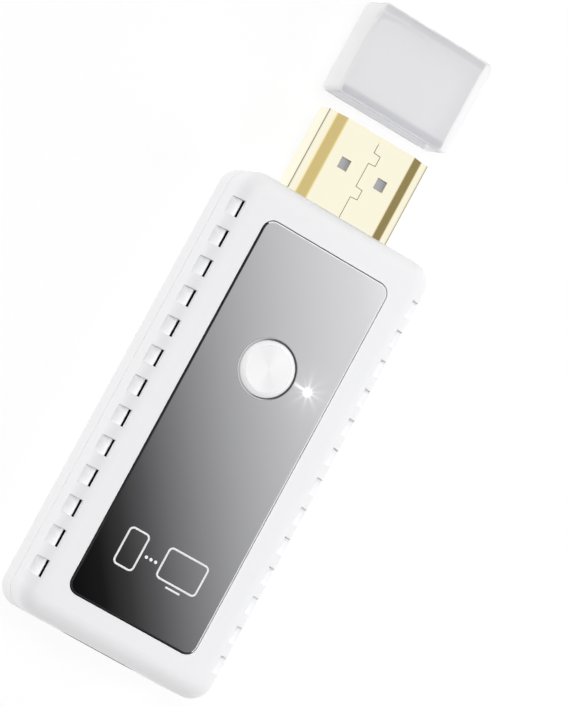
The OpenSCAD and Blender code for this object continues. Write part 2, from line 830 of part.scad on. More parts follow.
module inlet_shell() {
    color("silver") {
        difference() {
            inlet_prism(0, inlet_mouth, inlet_back);
            inlet_prism(-inlet_sheet, inlet_mouth - overrun, inlet_back + overrun);
        }
        for (sx = [-1, 1], y = [inlet_mouth + inlet_l / 2, inlet_back - tab_l])
            translate([sx * (inlet_w / 2 + tab_w / 2 - inlet_sheet / 2), y, board_top + inlet_sheet / 2])
                cube([tab_w + inlet_sheet, tab_l, inlet_sheet], center = true);
    }
}

module inlet_tongue() {
    base_y = inlet_back - tongue_base_l;
    color("#1d1d20") {
        inlet_prism(-inlet_sheet - fit_gap / 2, base_y, inlet_back);
        translate([-tongue_w / 2, base_y - tongue_l, seam_z - tongue_t / 2])
            cube([tongue_w, tongue_l + overrun, tongue_t]);
    }
}

module inlet_contacts() {
    base_y = inlet_back - tongue_base_l;
    color("goldenrod") for (i = [0:pad_count - 1]) {
        x = (i - (pad_count - 1) / 2) * pad_pitch - pad_w / 2;
        translate([x, base_y - pad_l, seam_z + tongue_t / 2]) cube([pad_w, pad_l, pad_t]);
        translate([x, base_y - pad_l, seam_z - tongue_t / 2 - pad_t]) cube([pad_w, pad_l, pad_t]);
        translate([x, inlet_back, board_top]) cube([pad_w, tail_l, pad_t]);
    }
}

module processor() {
    color("#2b2b2e") board_part([chip_w, chip_w, chip_h], [0, chip_y]);
}

module thermal_pad() {
    color("lightsteelblue") translate([0, 0, chip_h])
        board_part([chip_w, chip_w, pad_thermal_t], [0, chip_y]);
}

module heat_sink() {
    step = (sink_w - sink_fin_t) / (sink_fin_count - 1);
    color("lightgray") translate([0, 0, chip_h + pad_thermal_t]) {
        board_part([sink_w, sink_w, sink_base_t], [0, chip_y]);
        for (i = [0:sink_fin_count - 1])
            board_part([sink_fin_t, sink_w, sink_base_t + sink_fin_h],
                [i * step - (sink_w - sink_fin_t) / 2, chip_y]);
    }
}

module memory_chip() {
    color("#232326")
        board_part(part_size(memory_shares, rear_bay), part_place(memory_place_shares, rear_bay));
}

module flash_chip() {
    size = part_size(flash_shares, front_bay);
    at = part_place(flash_place_shares, front_bay);
    lead = part_size(flash_lead_shares, front_bay);
    pitch = size.x * flash_lead_pitch_share;
    color("#2e2e31") board_part(size, at);
    color("silver") for (s = [-1, 1], i = [0:flash_lead_count - 1])
        board_part(lead, at + [(i - (flash_lead_count - 1) / 2) * pitch, s * (size.y + lead.y) / 2]);
}

module radio_chip() {
    color("#29292c")
        board_part(part_size(radio_shares, rear_bay), part_place(shield_place_shares, rear_bay));
}

module radio_shield() {
    size = part_size(shield_shares, rear_bay);
    at = part_place(shield_place_shares, rear_bay);
    color("lightgray") difference() {
        board_part(size, at);
        translate([0, 0, -shield_sheet]) board_part(size - 2 * [shield_sheet, shield_sheet, 0], at);
    }
}

module antenna() {
    size = part_size(antenna_shares, rear_bay);
    at = part_place(antenna_place_shares, rear_bay);
    foot_step = size.y * antenna_foot_share;
    color("#c9a24a") {
        translate([0, 0, size.z - antenna_t]) board_part([size.x, size.y, antenna_t], at);
        for (s = [0, 1])
            board_part([size.x, antenna_t, size.z], at - [0, (size.y - antenna_t) / 2 - s * foot_step]);
    }
}

module crystal() {
    color("silver")
        board_part(part_size(crystal_shares, side_bay), part_place(crystal_place_shares, side_bay));
}

module inductors() {
    color("#3a3a3d") for (shares = inductor_place_shares)
        board_part(part_size(inductor_shares, front_bay), part_place(shares, front_bay));
}

module regulator() {
    color("#303033")
        board_part(part_size(regulator_shares, front_bay), part_place(regulator_place_shares, front_bay));
}

// Row of equal parts along Y round a place beside the heat sink
module part_row(size, place_shares, pitch, count, under = false) {
    for (i = [0:count - 1])
        board_part(size, part_place(place_shares, side_bay) + [0, (i - (count - 1) / 2) * pitch], under);
}

module capacitors() {
    color("tan") for (shares = capacitor_place_shares)
        part_row(part_size(capacitor_shares, side_bay), shares, sink_w * capacitor_pitch_share,
            capacitor_count);
}

module resistors() {
    color("#36363a") for (shares = resistor_place_shares)
        part_row(part_size(resistor_shares, side_bay), shares, sink_w * resistor_pitch_share,
            resistor_count, under = true);
}

top_shell();
bottom_shell();
face_panel();
panel_tape();
button_cap();
button_stem();
button_ring();
light_pipe();
status_led();
switch_body();
switch_cover();
switch_plunger();
main_board();
plug_shell();
plug_insulator();
plug_contacts_upper();
plug_contacts_lower();
plug_cap();
inlet_shell();
inlet_tongue();
inlet_contacts();
processor();
thermal_pad();
heat_sink();
memory_chip();
flash_chip();
radio_chip();
radio_shield();
antenna();
crystal();
inductors();
capacitors();
regulator();
resistors();
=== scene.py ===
import math

import bmesh
import bpy
from mathutils import Matrix, Vector


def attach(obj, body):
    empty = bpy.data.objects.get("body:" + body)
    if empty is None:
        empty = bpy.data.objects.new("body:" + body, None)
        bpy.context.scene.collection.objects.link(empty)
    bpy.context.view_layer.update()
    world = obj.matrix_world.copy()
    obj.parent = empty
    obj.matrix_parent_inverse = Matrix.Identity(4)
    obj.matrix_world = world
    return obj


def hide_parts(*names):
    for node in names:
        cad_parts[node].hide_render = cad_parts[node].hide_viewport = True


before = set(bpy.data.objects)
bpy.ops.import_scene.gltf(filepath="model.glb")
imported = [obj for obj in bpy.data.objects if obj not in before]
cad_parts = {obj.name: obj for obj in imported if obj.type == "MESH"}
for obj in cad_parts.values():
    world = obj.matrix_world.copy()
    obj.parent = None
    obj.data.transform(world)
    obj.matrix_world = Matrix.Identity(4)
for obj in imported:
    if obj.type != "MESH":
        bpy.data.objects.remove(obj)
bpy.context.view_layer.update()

scene = bpy.context.scene
mm = 0.001
white = (1.0, 1.0, 1.0, 1.0)

print("frame loaded:", len(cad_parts), "nodes")


def nodeBox(name):
    # corners, middle and half size of a CAD node, in mm
    points = [vertex.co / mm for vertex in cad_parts[name].data.vertices]
    low = [round(min(point[axis] for point in points), 4) for axis in range(3)]
    high = [round(max(point[axis] for point in points), 4) for axis in range(3)]
    return {"low": low, "high": high,
            "middle": [(start + end) / 2 for start, end in zip(low, high)],
            "half": [(end - start) / 2 for start, end in zip(low, high)]}


shellBox = nodeBox("top_shell")


def hexLinear(text):
    # sRGB hex to linear colour
    shares = [int(text[start:start + 2], 16) / 255 for start in (1, 3, 5)]
    linear = [share / 12.92 if share <= 0.04045 else ((share + 0.055) / 1.055) ** 2.4 for share in shares]
    return (*linear, 1.0)


def addNode(tree, kind, settings=None, inputs=None):
    # adds one node, with its settings, its input values and the links into it
    node = tree.nodes.new(kind)
    for name, value in (settings or {}).items():
        setattr(node, name, value)
    for name, value in (inputs or {}).items():
        if isinstance(value, bpy.types.NodeSocket):
            tree.links.new(value, node.inputs[name])
        else:
            node.inputs[name].default_value = value
    return node


def setStops(ramp, stops):
    # stops are (position, colour) pairs, the colour as sRGB hex
    elements = ramp.color_ramp.elements
    while len(elements) < len(stops):
        elements.new(0.5)
    for element, (position, colour) in zip(elements, stops):
        element.position = position
        element.color = hexLinear(colour)


# camera: fitted to the panel, the plug, the cap and the case's outline

cameraPlan = {
    "right": (0.8207, 0.4748, 0.3180),
    "up": (-0.4763, 0.8757, -0.0784),
    "aimMm": (*shellBox["middle"][:2], shellBox["high"][2]),    # middle of the case's top face
    "aimPixel": (229.94, 437.70),
    "imagePixels": (569, 707),
    "pixelsPerMm": 8.897,
    "distanceMm": 555.0,
    "sensorMm": 36.0,
    "nearM": 0.01, "farM": 20.0,
}


def buildCamera(plan):
    right = Vector(plan["right"]).normalized()
    back = right.cross(Vector(plan["up"])).normalized()
    up = back.cross(right)
    wide, high = plan["imagePixels"]
    across = (plan["aimPixel"][0] - wide / 2) / plan["pixelsPerMm"]
    above = (high / 2 - plan["aimPixel"][1]) / plan["pixelsPerMm"]
    place = Vector(plan["aimMm"]) + back * plan["distanceMm"] - right * across - up * above
    data = bpy.data.cameras.new("productCamera")
    data.sensor_fit = "VERTICAL"
    data.sensor_height = plan["sensorMm"]
    data.lens = plan["pixelsPerMm"] * plan["distanceMm"] / high * plan["sensorMm"]
    data.clip_start = plan["nearM"]
    data.clip_end = plan["farM"]
    camera = bpy.data.objects.new("productCamera", data)
    scene.collection.objects.link(camera)
    turn = Matrix((right, up, back)).transposed().to_4x4()
    camera.matrix_world = Matrix.Translation(place * mm) @ turn
    scene.camera = camera


buildCamera(cameraPlan)
scene.view_settings.view_transform = "Standard"
print("camera placed")


# studio: a soft dome with two black flags, a soft box overhead, a small one on the right, a pale floor

studioPlan = {
    "domeLight": 0.29,            # what matt surfaces receive from all round
    "domeTilt": (-0.25, 0.44, 0.0),    # more of it from the plug's end, less from the inlet's
    "domeStops": [                # what glossy surfaces see, from the horizon up
        (0.0, "#8a8782"), (0.08, "#949290"), (0.35, "#a9a8a6"),
        (0.46, "#c6c5c3"), (0.68, "#e0dfdd"), (0.84, "#f8f8f8"), (1.0, "#ffffff"),
    ],
    "flags": [(-1.0, 0.0, 0.0), (0.0, -1.0, 0.0)],    # directions of the black flags
    "flagFrom": 0.93, "flagTo": 0.98, "flagLight": 0.2,
    "softBoxes": {                # places and sizes in metres
        "overheadBox": {"place": (-0.22, 0.16, 1.17), "size": 0.6, "watts": 6.5},
        "rightBox": {"place": (0.16, 0.02, 0.15), "size": 0.12, "watts": 0.15},
    },
    "floorHalf": 3.0, "floorDropMm": 0.03, "floorColour": "#fafafa",
    "floorSeenShare": 0.82,       # share of the seen floor that is light, the rest takes shade
    "floorLight": 1.03,
    "floorBounce": 1.33,          # what the floor gives to matt surfaces
}


def buildDome(plan):
    world = bpy.data.worlds.new("softDome")
    world.use_nodes = True
    scene.world = world
    tree = world.node_tree
    tree.nodes.clear()

    spot = addNode(tree, "ShaderNodeTexCoord").outputs["Generated"]
    height = addNode(tree, "ShaderNodeSeparateXYZ", inputs={0: spot}).outputs["Z"]
    ramp = addNode(tree, "ShaderNodeValToRGB", inputs={0: height})
    setStops(ramp, plan["domeStops"])
    tilt = addNode(tree, "ShaderNodeVectorMath", {"operation": "DOT_PRODUCT"}, {
        0: spot, 1: plan["domeTilt"]})
    soft = addNode(tree, "ShaderNodeMath", {"operation": "MULTIPLY_ADD"}, {
        0: tilt.outputs["Value"], 1: plan["domeLight"], 2: plan["domeLight"]})
    gain = 1.0
    for flag in plan["flags"]:
        near = addNode(tree, "ShaderNodeVectorMath", {"operation": "DOT_PRODUCT"}, {0: spot, 1: flag})
        dark = addNode(tree, "ShaderNodeMapRange", {"interpolation_type": "SMOOTHSTEP"}, {
            "Value": near.outputs["Value"], "From Min": plan["flagFrom"], "From Max": plan["flagTo"],
            "To Min": 1.0, "To Max": plan["flagLight"]})
        gain = addNode(tree, "ShaderNodeMath", {"operation": "MULTIPLY"}, {
            0: gain, 1: dark.outputs[0]}).outputs[0]
    path = addNode(tree, "ShaderNodeLightPath")
    matt = addNode(tree, "ShaderNodeBackground", inputs={"Color": white, "Strength": soft.outputs[0]})
    gloss = addNode(tree, "ShaderNodeBackground", inputs={"Color": ramp.outputs[0], "Strength": gain})
    seen = addNode(tree, "ShaderNodeBackground", inputs={"Color": white, "Strength": 1.0})
    lit = addNode(tree, "ShaderNodeMixShader", inputs={
        0: path.outputs["Is Glossy Ray"], 1: matt.outputs[0], 2: gloss.outputs[0]})
    clear = addNode(tree, "ShaderNodeMath", {"operation": "MAXIMUM"}, {
        0: path.outputs["Is Camera Ray"], 1: path.outputs["Is Transmission Ray"]})
    last = addNode(tree, "ShaderNodeMixShader", inputs={
        0: clear.outputs[0], 1: lit.outputs[0], 2: seen.outputs[0]})
    addNode(tree, "ShaderNodeOutputWorld", inputs={"Surface": last.outputs[0]})


def buildSoftBox(name, plan):
    data = bpy.data.lights.new(name, "AREA")
    data.shape = "SQUARE"
    data.size = plan["size"]
    data.energy = plan["watts"]
    lamp = bpy.data.objects.new(name, data)
    scene.collection.objects.link(lamp)
    lamp.visible_glossy = False        # metal mirrors only the dome, so the gold never burns out
    place = Vector(plan["place"])
    lamp.matrix_world = Matrix.Translation(place) @ place.to_track_quat("Z", "Y").to_matrix().to_4x4()


def buildFloor(plan):
    half, low = plan["floorHalf"], -plan["floorDropMm"] * mm
    mesh = bpy.data.meshes.new("paleFloor")
    mesh.from_pydata([(-half, -half, low), (half, -half, low), (half, half, low), (-half, half, low)],
                     [], [(0, 1, 2, 3)])
    floor = bpy.data.objects.new("paleFloor", mesh)
    scene.collection.objects.link(floor)
    material = bpy.data.materials.new("paintedFloor")
    material.use_nodes = True
    tree = material.node_tree
    tree.nodes.clear()

    path = addNode(tree, "ShaderNodeLightPath")
    clear = addNode(tree, "ShaderNodeMath", {"operation": "MAXIMUM"}, {
        0: path.outputs["Is Camera Ray"], 1: path.outputs["Is Transmission Ray"]})
    seen = addNode(tree, "ShaderNodeMath", {"operation": "MAXIMUM"}, {
        0: clear.outputs[0], 1: path.outputs["Is Glossy Ray"]})
    matt = addNode(tree, "ShaderNodeBsdfDiffuse", inputs={"Color": hexLinear(plan["floorColour"])})
    light = addNode(tree, "ShaderNodeEmission", inputs={"Color": white, "Strength": plan["floorLight"]})
    bounce = addNode(tree, "ShaderNodeEmission", inputs={"Color": white, "Strength": plan["floorBounce"]})
    # the seen floor is nearly all light, so that only a faint shade shows on it
    shown = addNode(tree, "ShaderNodeMixShader", inputs={
        0: plan["floorSeenShare"], 1: matt.outputs[0], 2: light.outputs[0]})
    both = addNode(tree, "ShaderNodeMixShader", inputs={
        0: seen.outputs[0], 1: bounce.outputs[0], 2: shown.outputs[0]})
    addNode(tree, "ShaderNodeOutputMaterial", inputs={"Surface": both.outputs[0]})
    mesh.materials.append(material)


buildDome(studioPlan)
for boxName, boxPlan in studioPlan["softBoxes"].items():
    buildSoftBox(boxName, boxPlan)
buildFloor(studioPlan)
print("studio lit")


# what every finish's grain has in common
grainPlan = {
    "detail": 3.0, "roughness": 0.55,    # of the noise
    "low": 0.25, "high": 0.75,    # the noise's usual range, over which the roughness swings
    "edgeSamples": 4,
}


def makeFinish(name, plan, grain=grainPlan):
    # one noise drives a finish's tint, roughness and relief; its grain is the real one in mm,
    # or coarser where a plan says that the real one is too fine to show
    material = bpy.data.materials.new(name)
    material.use_nodes = True
    tree = material.node_tree
    tree.nodes.clear()
    place = addNode(tree, "ShaderNodeTexCoord")
    sized = addNode(tree, "ShaderNodeMapping", inputs={
        "Vector": place.outputs["Object"], "Scale": [1 / (size * mm) for size in plan["grainMm"]]})
    noise = addNode(tree, "ShaderNodeTexNoise", inputs={
        "Vector": sized.outputs[0], "Scale": 1.0, "Detail": grain["detail"], "Roughness": grain["roughness"]})
    tint = addNode(tree, "ShaderNodeMix", {"data_type": "RGBA"}, {
        0: noise.outputs["Fac"], 6: hexLinear(plan["colour"]), 7: hexLinear(plan["tint"])})
    rough = addNode(tree, "ShaderNodeMapRange", inputs={
        "Value": noise.outputs["Fac"], "From Min": grain["low"], "From Max": grain["high"],
        "To Min": plan["roughness"] - plan["swing"], "To Max": plan["roughness"] + plan["swing"]})
    relief = addNode(tree, "ShaderNodeBump", inputs={
        "Height": noise.outputs["Fac"], "Strength": 1.0, "Distance": plan["reliefMm"] * mm})
    if "edgeMm" in plan:              # softens the look of sharp moulded or stamped edges
        edge = addNode(tree, "ShaderNodeBevel", {"samples": grain["edgeSamples"]}, {
            "Radius": plan["edgeMm"] * mm})
        tree.links.new(edge.outputs[0], relief.inputs["Normal"])
    bsdf = addNode(tree, "ShaderNodeBsdfPrincipled", inputs={
        "Base Color": tint.outputs[2], "Roughness": rough.outputs[0], "Normal": relief.outputs[0]})
    for socket, value in plan.get("sockets", {}).items():
        bsdf.inputs[socket].default_value = value
    addNode(tree, "ShaderNodeOutputMaterial", inputs={"Surface": bsdf.outputs[0]})
    return {"material": material, "tree": tree, "bsdf": bsdf, "colour": tint.outputs[2],
            "spot": place.outputs["Object"], "normal": place.outputs["Normal"]}


def layOver(finish, share, colour):
    # lays a colour over the finish's own, as far as the share says
    both = addNode(finish["tree"], "ShaderNodeMix", {"data_type": "RGBA"}, {
        0: share, 6: finish["colour"], 7: hexLinear(colour)})
    finish["colour"] = both.outputs[2]
    finish["tree"].links.new(finish["colour"], finish["bsdf"].inputs["Base Color"])


def giveLight(finish, strength):
    # lets the finish shine white
    finish["tree"].links.new(strength, finish["bsdf"].inputs["Emission Strength"])
    finish["bsdf"].inputs["Emission Color"].default_value = white


def fromPoint(finish, centreMm):
    # the direction and distance of each point from a centre
    tree = finish["tree"]
    arm = addNode(tree, "ShaderNodeVectorMath", {"operation": "SUBTRACT"}, {
        0: finish["spot"], 1: [place * mm for place in centreMm]})
    toward = addNode(tree, "ShaderNodeVectorMath", {"operation": "NORMALIZE"}, {0: arm.outputs[0]})
    away = addNode(tree, "ShaderNodeVectorMath", {"operation": "LENGTH"}, {0: arm.outputs[0]})
    return toward.outputs[0], away.outputs["Value"]


def insideBoxes(finish, boxes):
    # 1 inside any of the boxes, each given by its middle and half sizes in mm
    tree = finish["tree"]
    place = addNode(tree, "ShaderNodeSeparateXYZ", inputs={0: finish["spot"]})
    anywhere = 0.0
    for middle, half in boxes:
        inside = 1.0
        for axis in range(3):
            near = addNode(tree, "ShaderNodeMath", {"operation": "COMPARE"}, {
                0: place.outputs[axis], 1: middle[axis] * mm, 2: half[axis] * mm})
            inside = addNode(tree, "ShaderNodeMath", {"operation": "MULTIPLY"}, {
                0: inside, 1: near.outputs[0]}).outputs[0]
        anywhere = addNode(tree, "ShaderNodeMath", {"operation": "MAXIMUM"}, {
            0: anywhere, 1: inside}).outputs[0]
    return anywhere


def outsideBoxes(finish, boxes):
    outside = addNode(finish["tree"], "ShaderNodeMath", {"operation": "SUBTRACT"}, {
        0: 1.0, 1: insideBoxes(finish, boxes)})
    return outside.outputs[0]


def dress(finish, *names):
    # gives CAD nodes a finish in place of their plain one
    for name in names:
        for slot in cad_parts[name].material_slots:
            slot.material = finish["material"]


# moulded ABS with a fine satin texture: white, soft highlights, no visible grain from afar
absPlan = {
    "colour": "#fbfbfc", "tint": "#f8f8fa", "roughness": 0.42, "swing": 0.05,
    "grainMm": (0.16, 0.16, 0.16),    # too fine to show, so drawn coarser
    "reliefMm": 0.002, "edgeMm": 0.07,
    "sockets": {"IOR": 1.53, "Specular IOR Level": 0.3},
    # painted shade: the cavity, the rib behind the notches and the step round the inlet are painted near
    # black
    "innerShadeColour": "#0d0d0f",
    # rooms in mm: how far in from the sides and from the ends, lowest point and highest point
    "cavityRoom": (1.38, 1.34, 1.25, 10.35), "ribRoom": (0.5, 2.4, 1.27, 9.03),
    "stepHalfMm": (4.95, 0.49, 2.1), "stepMiddleMm": (0.0, -27.5, 5.5),
    # painted shade: the notches' head walls are painted darker, fading out toward the outer side
    "headShadeColour": "#d6d6d9", "headShadeRoom": (-0.1, 2.0, 9.05, 11.15), "headShadeFacing": -0.9,
    "notchFromMm": 11.5, "notchToMm": 13.2,
    # painted light: each notch's floor glows, most near its slot
    "notchGlowRoom": (-0.1, 2.0, 9.07, 9.13), "notchGlowLight": 0.38, "notchGlowFall": 2.0,
}


def roomBox(room):
    # a room's middle and half sizes in mm
    sideMm, endMm, lowMm, highMm = room
    x, y = shellBox["middle"][:2]
    halfWide, halfLong = shellBox["half"][:2]
    return (x, y, (lowMm + highMm) / 2), (halfWide - sideMm, halfLong - endMm, (highMm - lowMm) / 2)


def makeAbs(plan):
    finish = makeFinish("satinAbs", plan)
    tree = finish["tree"]
    # painted shade on the notches' head walls
    facing = addNode(tree, "ShaderNodeSeparateXYZ", inputs={0: finish["normal"]})
    head = addNode(tree, "ShaderNodeMath", {"operation": "LESS_THAN"}, {
        0: facing.outputs["Y"], 1: plan["headShadeFacing"]})
    place = addNode(tree, "ShaderNodeSeparateXYZ", inputs={0: finish["spot"]})
    side = addNode(tree, "ShaderNodeMath", {"operation": "ABSOLUTE"}, {0: place.outputs["X"]})
    fade = addNode(tree, "ShaderNodeMapRange", inputs={
        "Value": side.outputs[0], "From Min": plan["notchFromMm"] * mm,
        "From Max": plan["notchToMm"] * mm, "To Min": 1.0, "To Max": 0.0})
    wall = addNode(tree, "ShaderNodeMath", {"operation": "MULTIPLY"}, {
        0: head.outputs[0], 1: insideBoxes(finish, [roomBox(plan["headShadeRoom"])])})
    headShade = addNode(tree, "ShaderNodeMath", {"operation": "MULTIPLY"}, {
        0: wall.outputs[0], 1: fade.outputs[0]})
    layOver(finish, headShade.outputs[0], plan["headShadeColour"])
    # painted shade, near black, in the cavity, on the rib and on the step
    shadedRooms = [roomBox(plan["cavityRoom"]), roomBox(plan["ribRoom"]),
              (plan["stepMiddleMm"], plan["stepHalfMm"])]
    layOver(finish, insideBoxes(finish, shadedRooms), plan["innerShadeColour"])
    # painted light on the notches' floors
    deep = addNode(tree, "ShaderNodeMath", {"operation": "POWER"}, {0: fade.outputs[0], 1: plan["notchGlowFall"]})
    floor = addNode(tree, "ShaderNodeMath", {"operation": "MULTIPLY"}, {
        0: insideBoxes(finish, [roomBox(plan["notchGlowRoom"])]), 1: deep.outputs[0]})
    notchGlow = addNode(tree, "ShaderNodeMath", {"operation": "MULTIPLY"}, {
        0: floor.outputs[0], 1: plan["notchGlowLight"]})
    giveLight(finish, notchGlow.outputs[0])
    return finish


dress(makeAbs(absPlan), "top_shell", "bottom_shell")


# clear acrylic over a smoked mirror film: deep gloss, with a painted reflection from near black in one corner
# to silver in the other
panelPlan = {
    "colour": "#808082", "tint": "#828284", "roughness": 0.07, "swing": 0.015,
    "grainMm": (2.5, 2.5, 2.5), "reliefMm": 0.0001,
    "sockets": {"IOR": 1.49, "Specular IOR Level": 0.05},
    "reflectionDirection": (1.3, 1.0, 0.0),
    "reflectionFromMm": -33.0, "reflectionToMm": 33.0,
    "reflectionStops": [
        (0.0, "#070707"), (0.08, "#161616"), (0.155, "#383838"), (0.23, "#58585a"), (0.31, "#767678"),
        (0.39, "#8d8d8f"), (0.465, "#9f9fa1"), (0.54, "#aeaeb0"), (0.62, "#bbbbbd"), (0.70, "#c7c7c9"),
        (0.775, "#d0d0d2"), (0.85, "#d8d8da"), (0.93, "#dfdfe1"), (1.0, "#ebebed"),
    ],
    # its cut edge takes a painted highlight on the far sides and painted shade on the near ones
    "edgeFacing": 0.93, "edgeToward": (0.6, 0.8, 0.0), "edgeHighlight": "#ffffff", "edgeShade": "#3c3c3e",
}

# status light: painted light, a glow on the film round the light pipe's window
pipeBox = nodeBox("light_pipe")
glowPlan = {
    "centreMm": (*pipeBox["middle"][:2], pipeBox["high"][2]),
    # all round: reach in mm, sharpness of the fall, light
    "pools": [(0.36, 2.0, 2.0), (1.3, 1.0, 0.16)],
    # rays: direction in degrees from +X, reach in mm, light
    "rays": [(176, 1.05, 1.5), (104, 0.7, 0.7), (64, 0.75, 0.30), (28, 0.9, 0.30), (0, 0.75, 0.55),
             (-37, 0.8, 0.55), (-76, 0.7, 0.50), (-119, 0.9, 0.30), (-152, 0.6, 0.25), (135, 0.6, 0.3)],
    "rayFall": 1.0, "raySharpness": 90.0,
}


def addGlow(finish, plan):
    # the glow is painted light: pools all round and rays
    tree = finish["tree"]
    toward, away = fromPoint(finish, plan["centreMm"])
    # each lobe is a reach, a fall, a light, and a direction or None for all round
    lobes = [(reachMm, fall, light, None) for reachMm, fall, light in plan["pools"]]
    lobes += [(reachMm, plan["rayFall"], light, degrees) for degrees, reachMm, light in plan["rays"]]
    total = 0.0
    for reachMm, fall, light, degrees in lobes:
        share = addNode(tree, "ShaderNodeMath", {"operation": "DIVIDE"}, {0: away, 1: reachMm * mm})
        steep = addNode(tree, "ShaderNodeMath", {"operation": "POWER"}, {0: share.outputs[0], 1: fall})
        lobe = addNode(tree, "ShaderNodeMath", {"operation": "POWER"}, {
            0: 1 / math.e, 1: steep.outputs[0]})
        if degrees is not None:
            turn = math.radians(degrees)
            along = addNode(tree, "ShaderNodeVectorMath", {"operation": "DOT_PRODUCT"}, {
                0: toward, 1: (math.cos(turn), math.sin(turn), 0.0)})
            ahead = addNode(tree, "ShaderNodeMath", {"operation": "MAXIMUM"}, {
                0: along.outputs["Value"], 1: 0.0})
            beam = addNode(tree, "ShaderNodeMath", {"operation": "POWER"}, {
                0: ahead.outputs[0], 1: plan["raySharpness"]})
            lobe = addNode(tree, "ShaderNodeMath", {"operation": "MULTIPLY"}, {
                0: beam.outputs[0], 1: lobe.outputs[0]})
        total = addNode(tree, "ShaderNodeMath", {"operation": "MULTIPLY_ADD"}, {
            0: lobe.outputs[0], 1: light, 2: total}).outputs[0]
    giveLight(finish, total)


def makePanel(plan, glow):
    finish = makeFinish("smokedMirrorAcrylic", plan)
    tree = finish["tree"]
    # painted reflection: the colour fades from one corner to the other
    along = addNode(tree, "ShaderNodeVectorMath", {"operation": "DOT_PRODUCT"}, {
        0: finish["spot"], 1: plan["reflectionDirection"]})
    share = addNode(tree, "ShaderNodeMapRange", inputs={
        "Value": along.outputs["Value"],
        "From Min": plan["reflectionFromMm"] * mm, "From Max": plan["reflectionToMm"] * mm})
    ramp = addNode(tree, "ShaderNodeValToRGB", inputs={0: share.outputs[0]})
    setStops(ramp, plan["reflectionStops"])
    finish["colour"] = ramp.outputs[0]
    # painted shade on the cut edge, and a painted highlight on its far sides
    facing = addNode(tree, "ShaderNodeSeparateXYZ", inputs={0: finish["normal"]})
    edge = addNode(tree, "ShaderNodeMath", {"operation": "LESS_THAN"}, {
        0: facing.outputs["Z"], 1: plan["edgeFacing"]})
    layOver(finish, edge.outputs[0], plan["edgeShade"])
    away = addNode(tree, "ShaderNodeVectorMath", {"operation": "DOT_PRODUCT"}, {
        0: finish["normal"], 1: plan["edgeToward"]})
    beyond = addNode(tree, "ShaderNodeMath", {"operation": "GREATER_THAN"}, {
        0: away.outputs["Value"], 1: 0.0})
    lit = addNode(tree, "ShaderNodeMath", {"operation": "MULTIPLY"}, {
        0: edge.outputs[0], 1: beyond.outputs[0]})
    layOver(finish, lit.outputs[0], plan["edgeHighlight"])
    addGlow(finish, glow)
    return finish


dress(makePanel(panelPlan, glowPlan), "face_panel")


# gold plate on drawn brass sheet: pale and bright on the rolled faces; the bends are tinted a deeper gold as
# painted reflection
goldPlan = {
    "colour": "#fffbe3", "tint": "#fdf8de", "roughness": 0.14, "swing": 0.03,
    "grainMm": (0.12, 4.0, 0.12),    # rolling lines, too fine to show, so drawn coarser
    "reliefMm": 0.0002, "edgeMm": 0.015,
    "sockets": {"Metallic": 1.0},
    "bendReflectionColour": "#f3dd98", "bendGain": 2.4,
    "foldMm": 0.45,                   # the outer folds, which stay pale
}


def makeGold(plan, box):
    finish = makeFinish("goldPlatedBrass", plan)
    tree = finish["tree"]
    # painted reflection: sloped faces take a deeper gold, except at the outer folds
    facing = addNode(tree, "ShaderNodeSeparateXYZ", inputs={0: finish["normal"]})
    slope = addNode(tree, "ShaderNodeMath", {"operation": "MULTIPLY"}, {
        0: facing.outputs["X"], 1: facing.outputs["Z"]})
    size = addNode(tree, "ShaderNodeMath", {"operation": "ABSOLUTE"}, {0: slope.outputs[0]})
    deep = addNode(tree, "ShaderNodeMath", {"operation": "MULTIPLY", "use_clamp": True}, {
        0: size.outputs[0], 1: plan["bendGain"]})
    place = addNode(tree, "ShaderNodeSeparateXYZ", inputs={0: finish["spot"]})
    away = addNode(tree, "ShaderNodeMath", {"operation": "ABSOLUTE"}, {0: place.outputs["X"]})
    slopes = addNode(tree, "ShaderNodeMath", {"operation": "LESS_THAN"}, {
        0: away.outputs[0], 1: (box["half"][0] - plan["foldMm"]) * mm})
    share = addNode(tree, "ShaderNodeMath", {"operation": "MULTIPLY"}, {
        0: deep.outputs[0], 1: slopes.outputs[0]})
    layOver(finish, share.outputs[0], plan["bendReflectionColour"])
    return finish


dress(makeGold(goldPlan, nodeBox("plug_shell")), "plug_shell")

# gold flash on stamped contacts
contactGoldPlan = {
    "colour": "#f6d68a", "tint": "#eec873", "roughness": 0.22, "swing": 0.05,
    "grainMm": (0.12, 0.8, 0.12),    # too fine to show, so drawn coarser
    "reliefMm": 0.0003, "sockets": {"Metallic": 1.0},
}
contactGold = makeFinish("contactGold", contactGoldPlan)
dress(contactGold, "plug_contacts_upper", "plug_contacts_lower", "inlet_contacts")

# glass filled liquid crystal polymer, moulded: matt grey with faint flow marks
greyPolymerPlan = {
    "colour": "#b4b4b8", "tint": "#a9a9ae", "roughness": 0.55, "swing": 0.08,
    "grainMm": (0.3, 1.5, 0.3), "reliefMm": 0.002, "sockets": {"IOR": 1.6},
}
dress(makeFinish("greyPolymer", greyPolymerPlan), "plug_insulator")

# the same polymer, black, in the inlet and the switch
blackPolymerPlan = {
    "colour": "#16161a", "tint": "#1d1d21", "roughness": 0.5, "swing": 0.08,
    "grainMm": (0.3, 0.8, 0.3), "reliefMm": 0.002, "sockets": {"IOR": 1.6},
}
blackPolymer = makeFinish("blackPolymer", blackPolymerPlan)
dress(blackPolymer, "inlet_tongue", "switch_body", "switch_plunger")

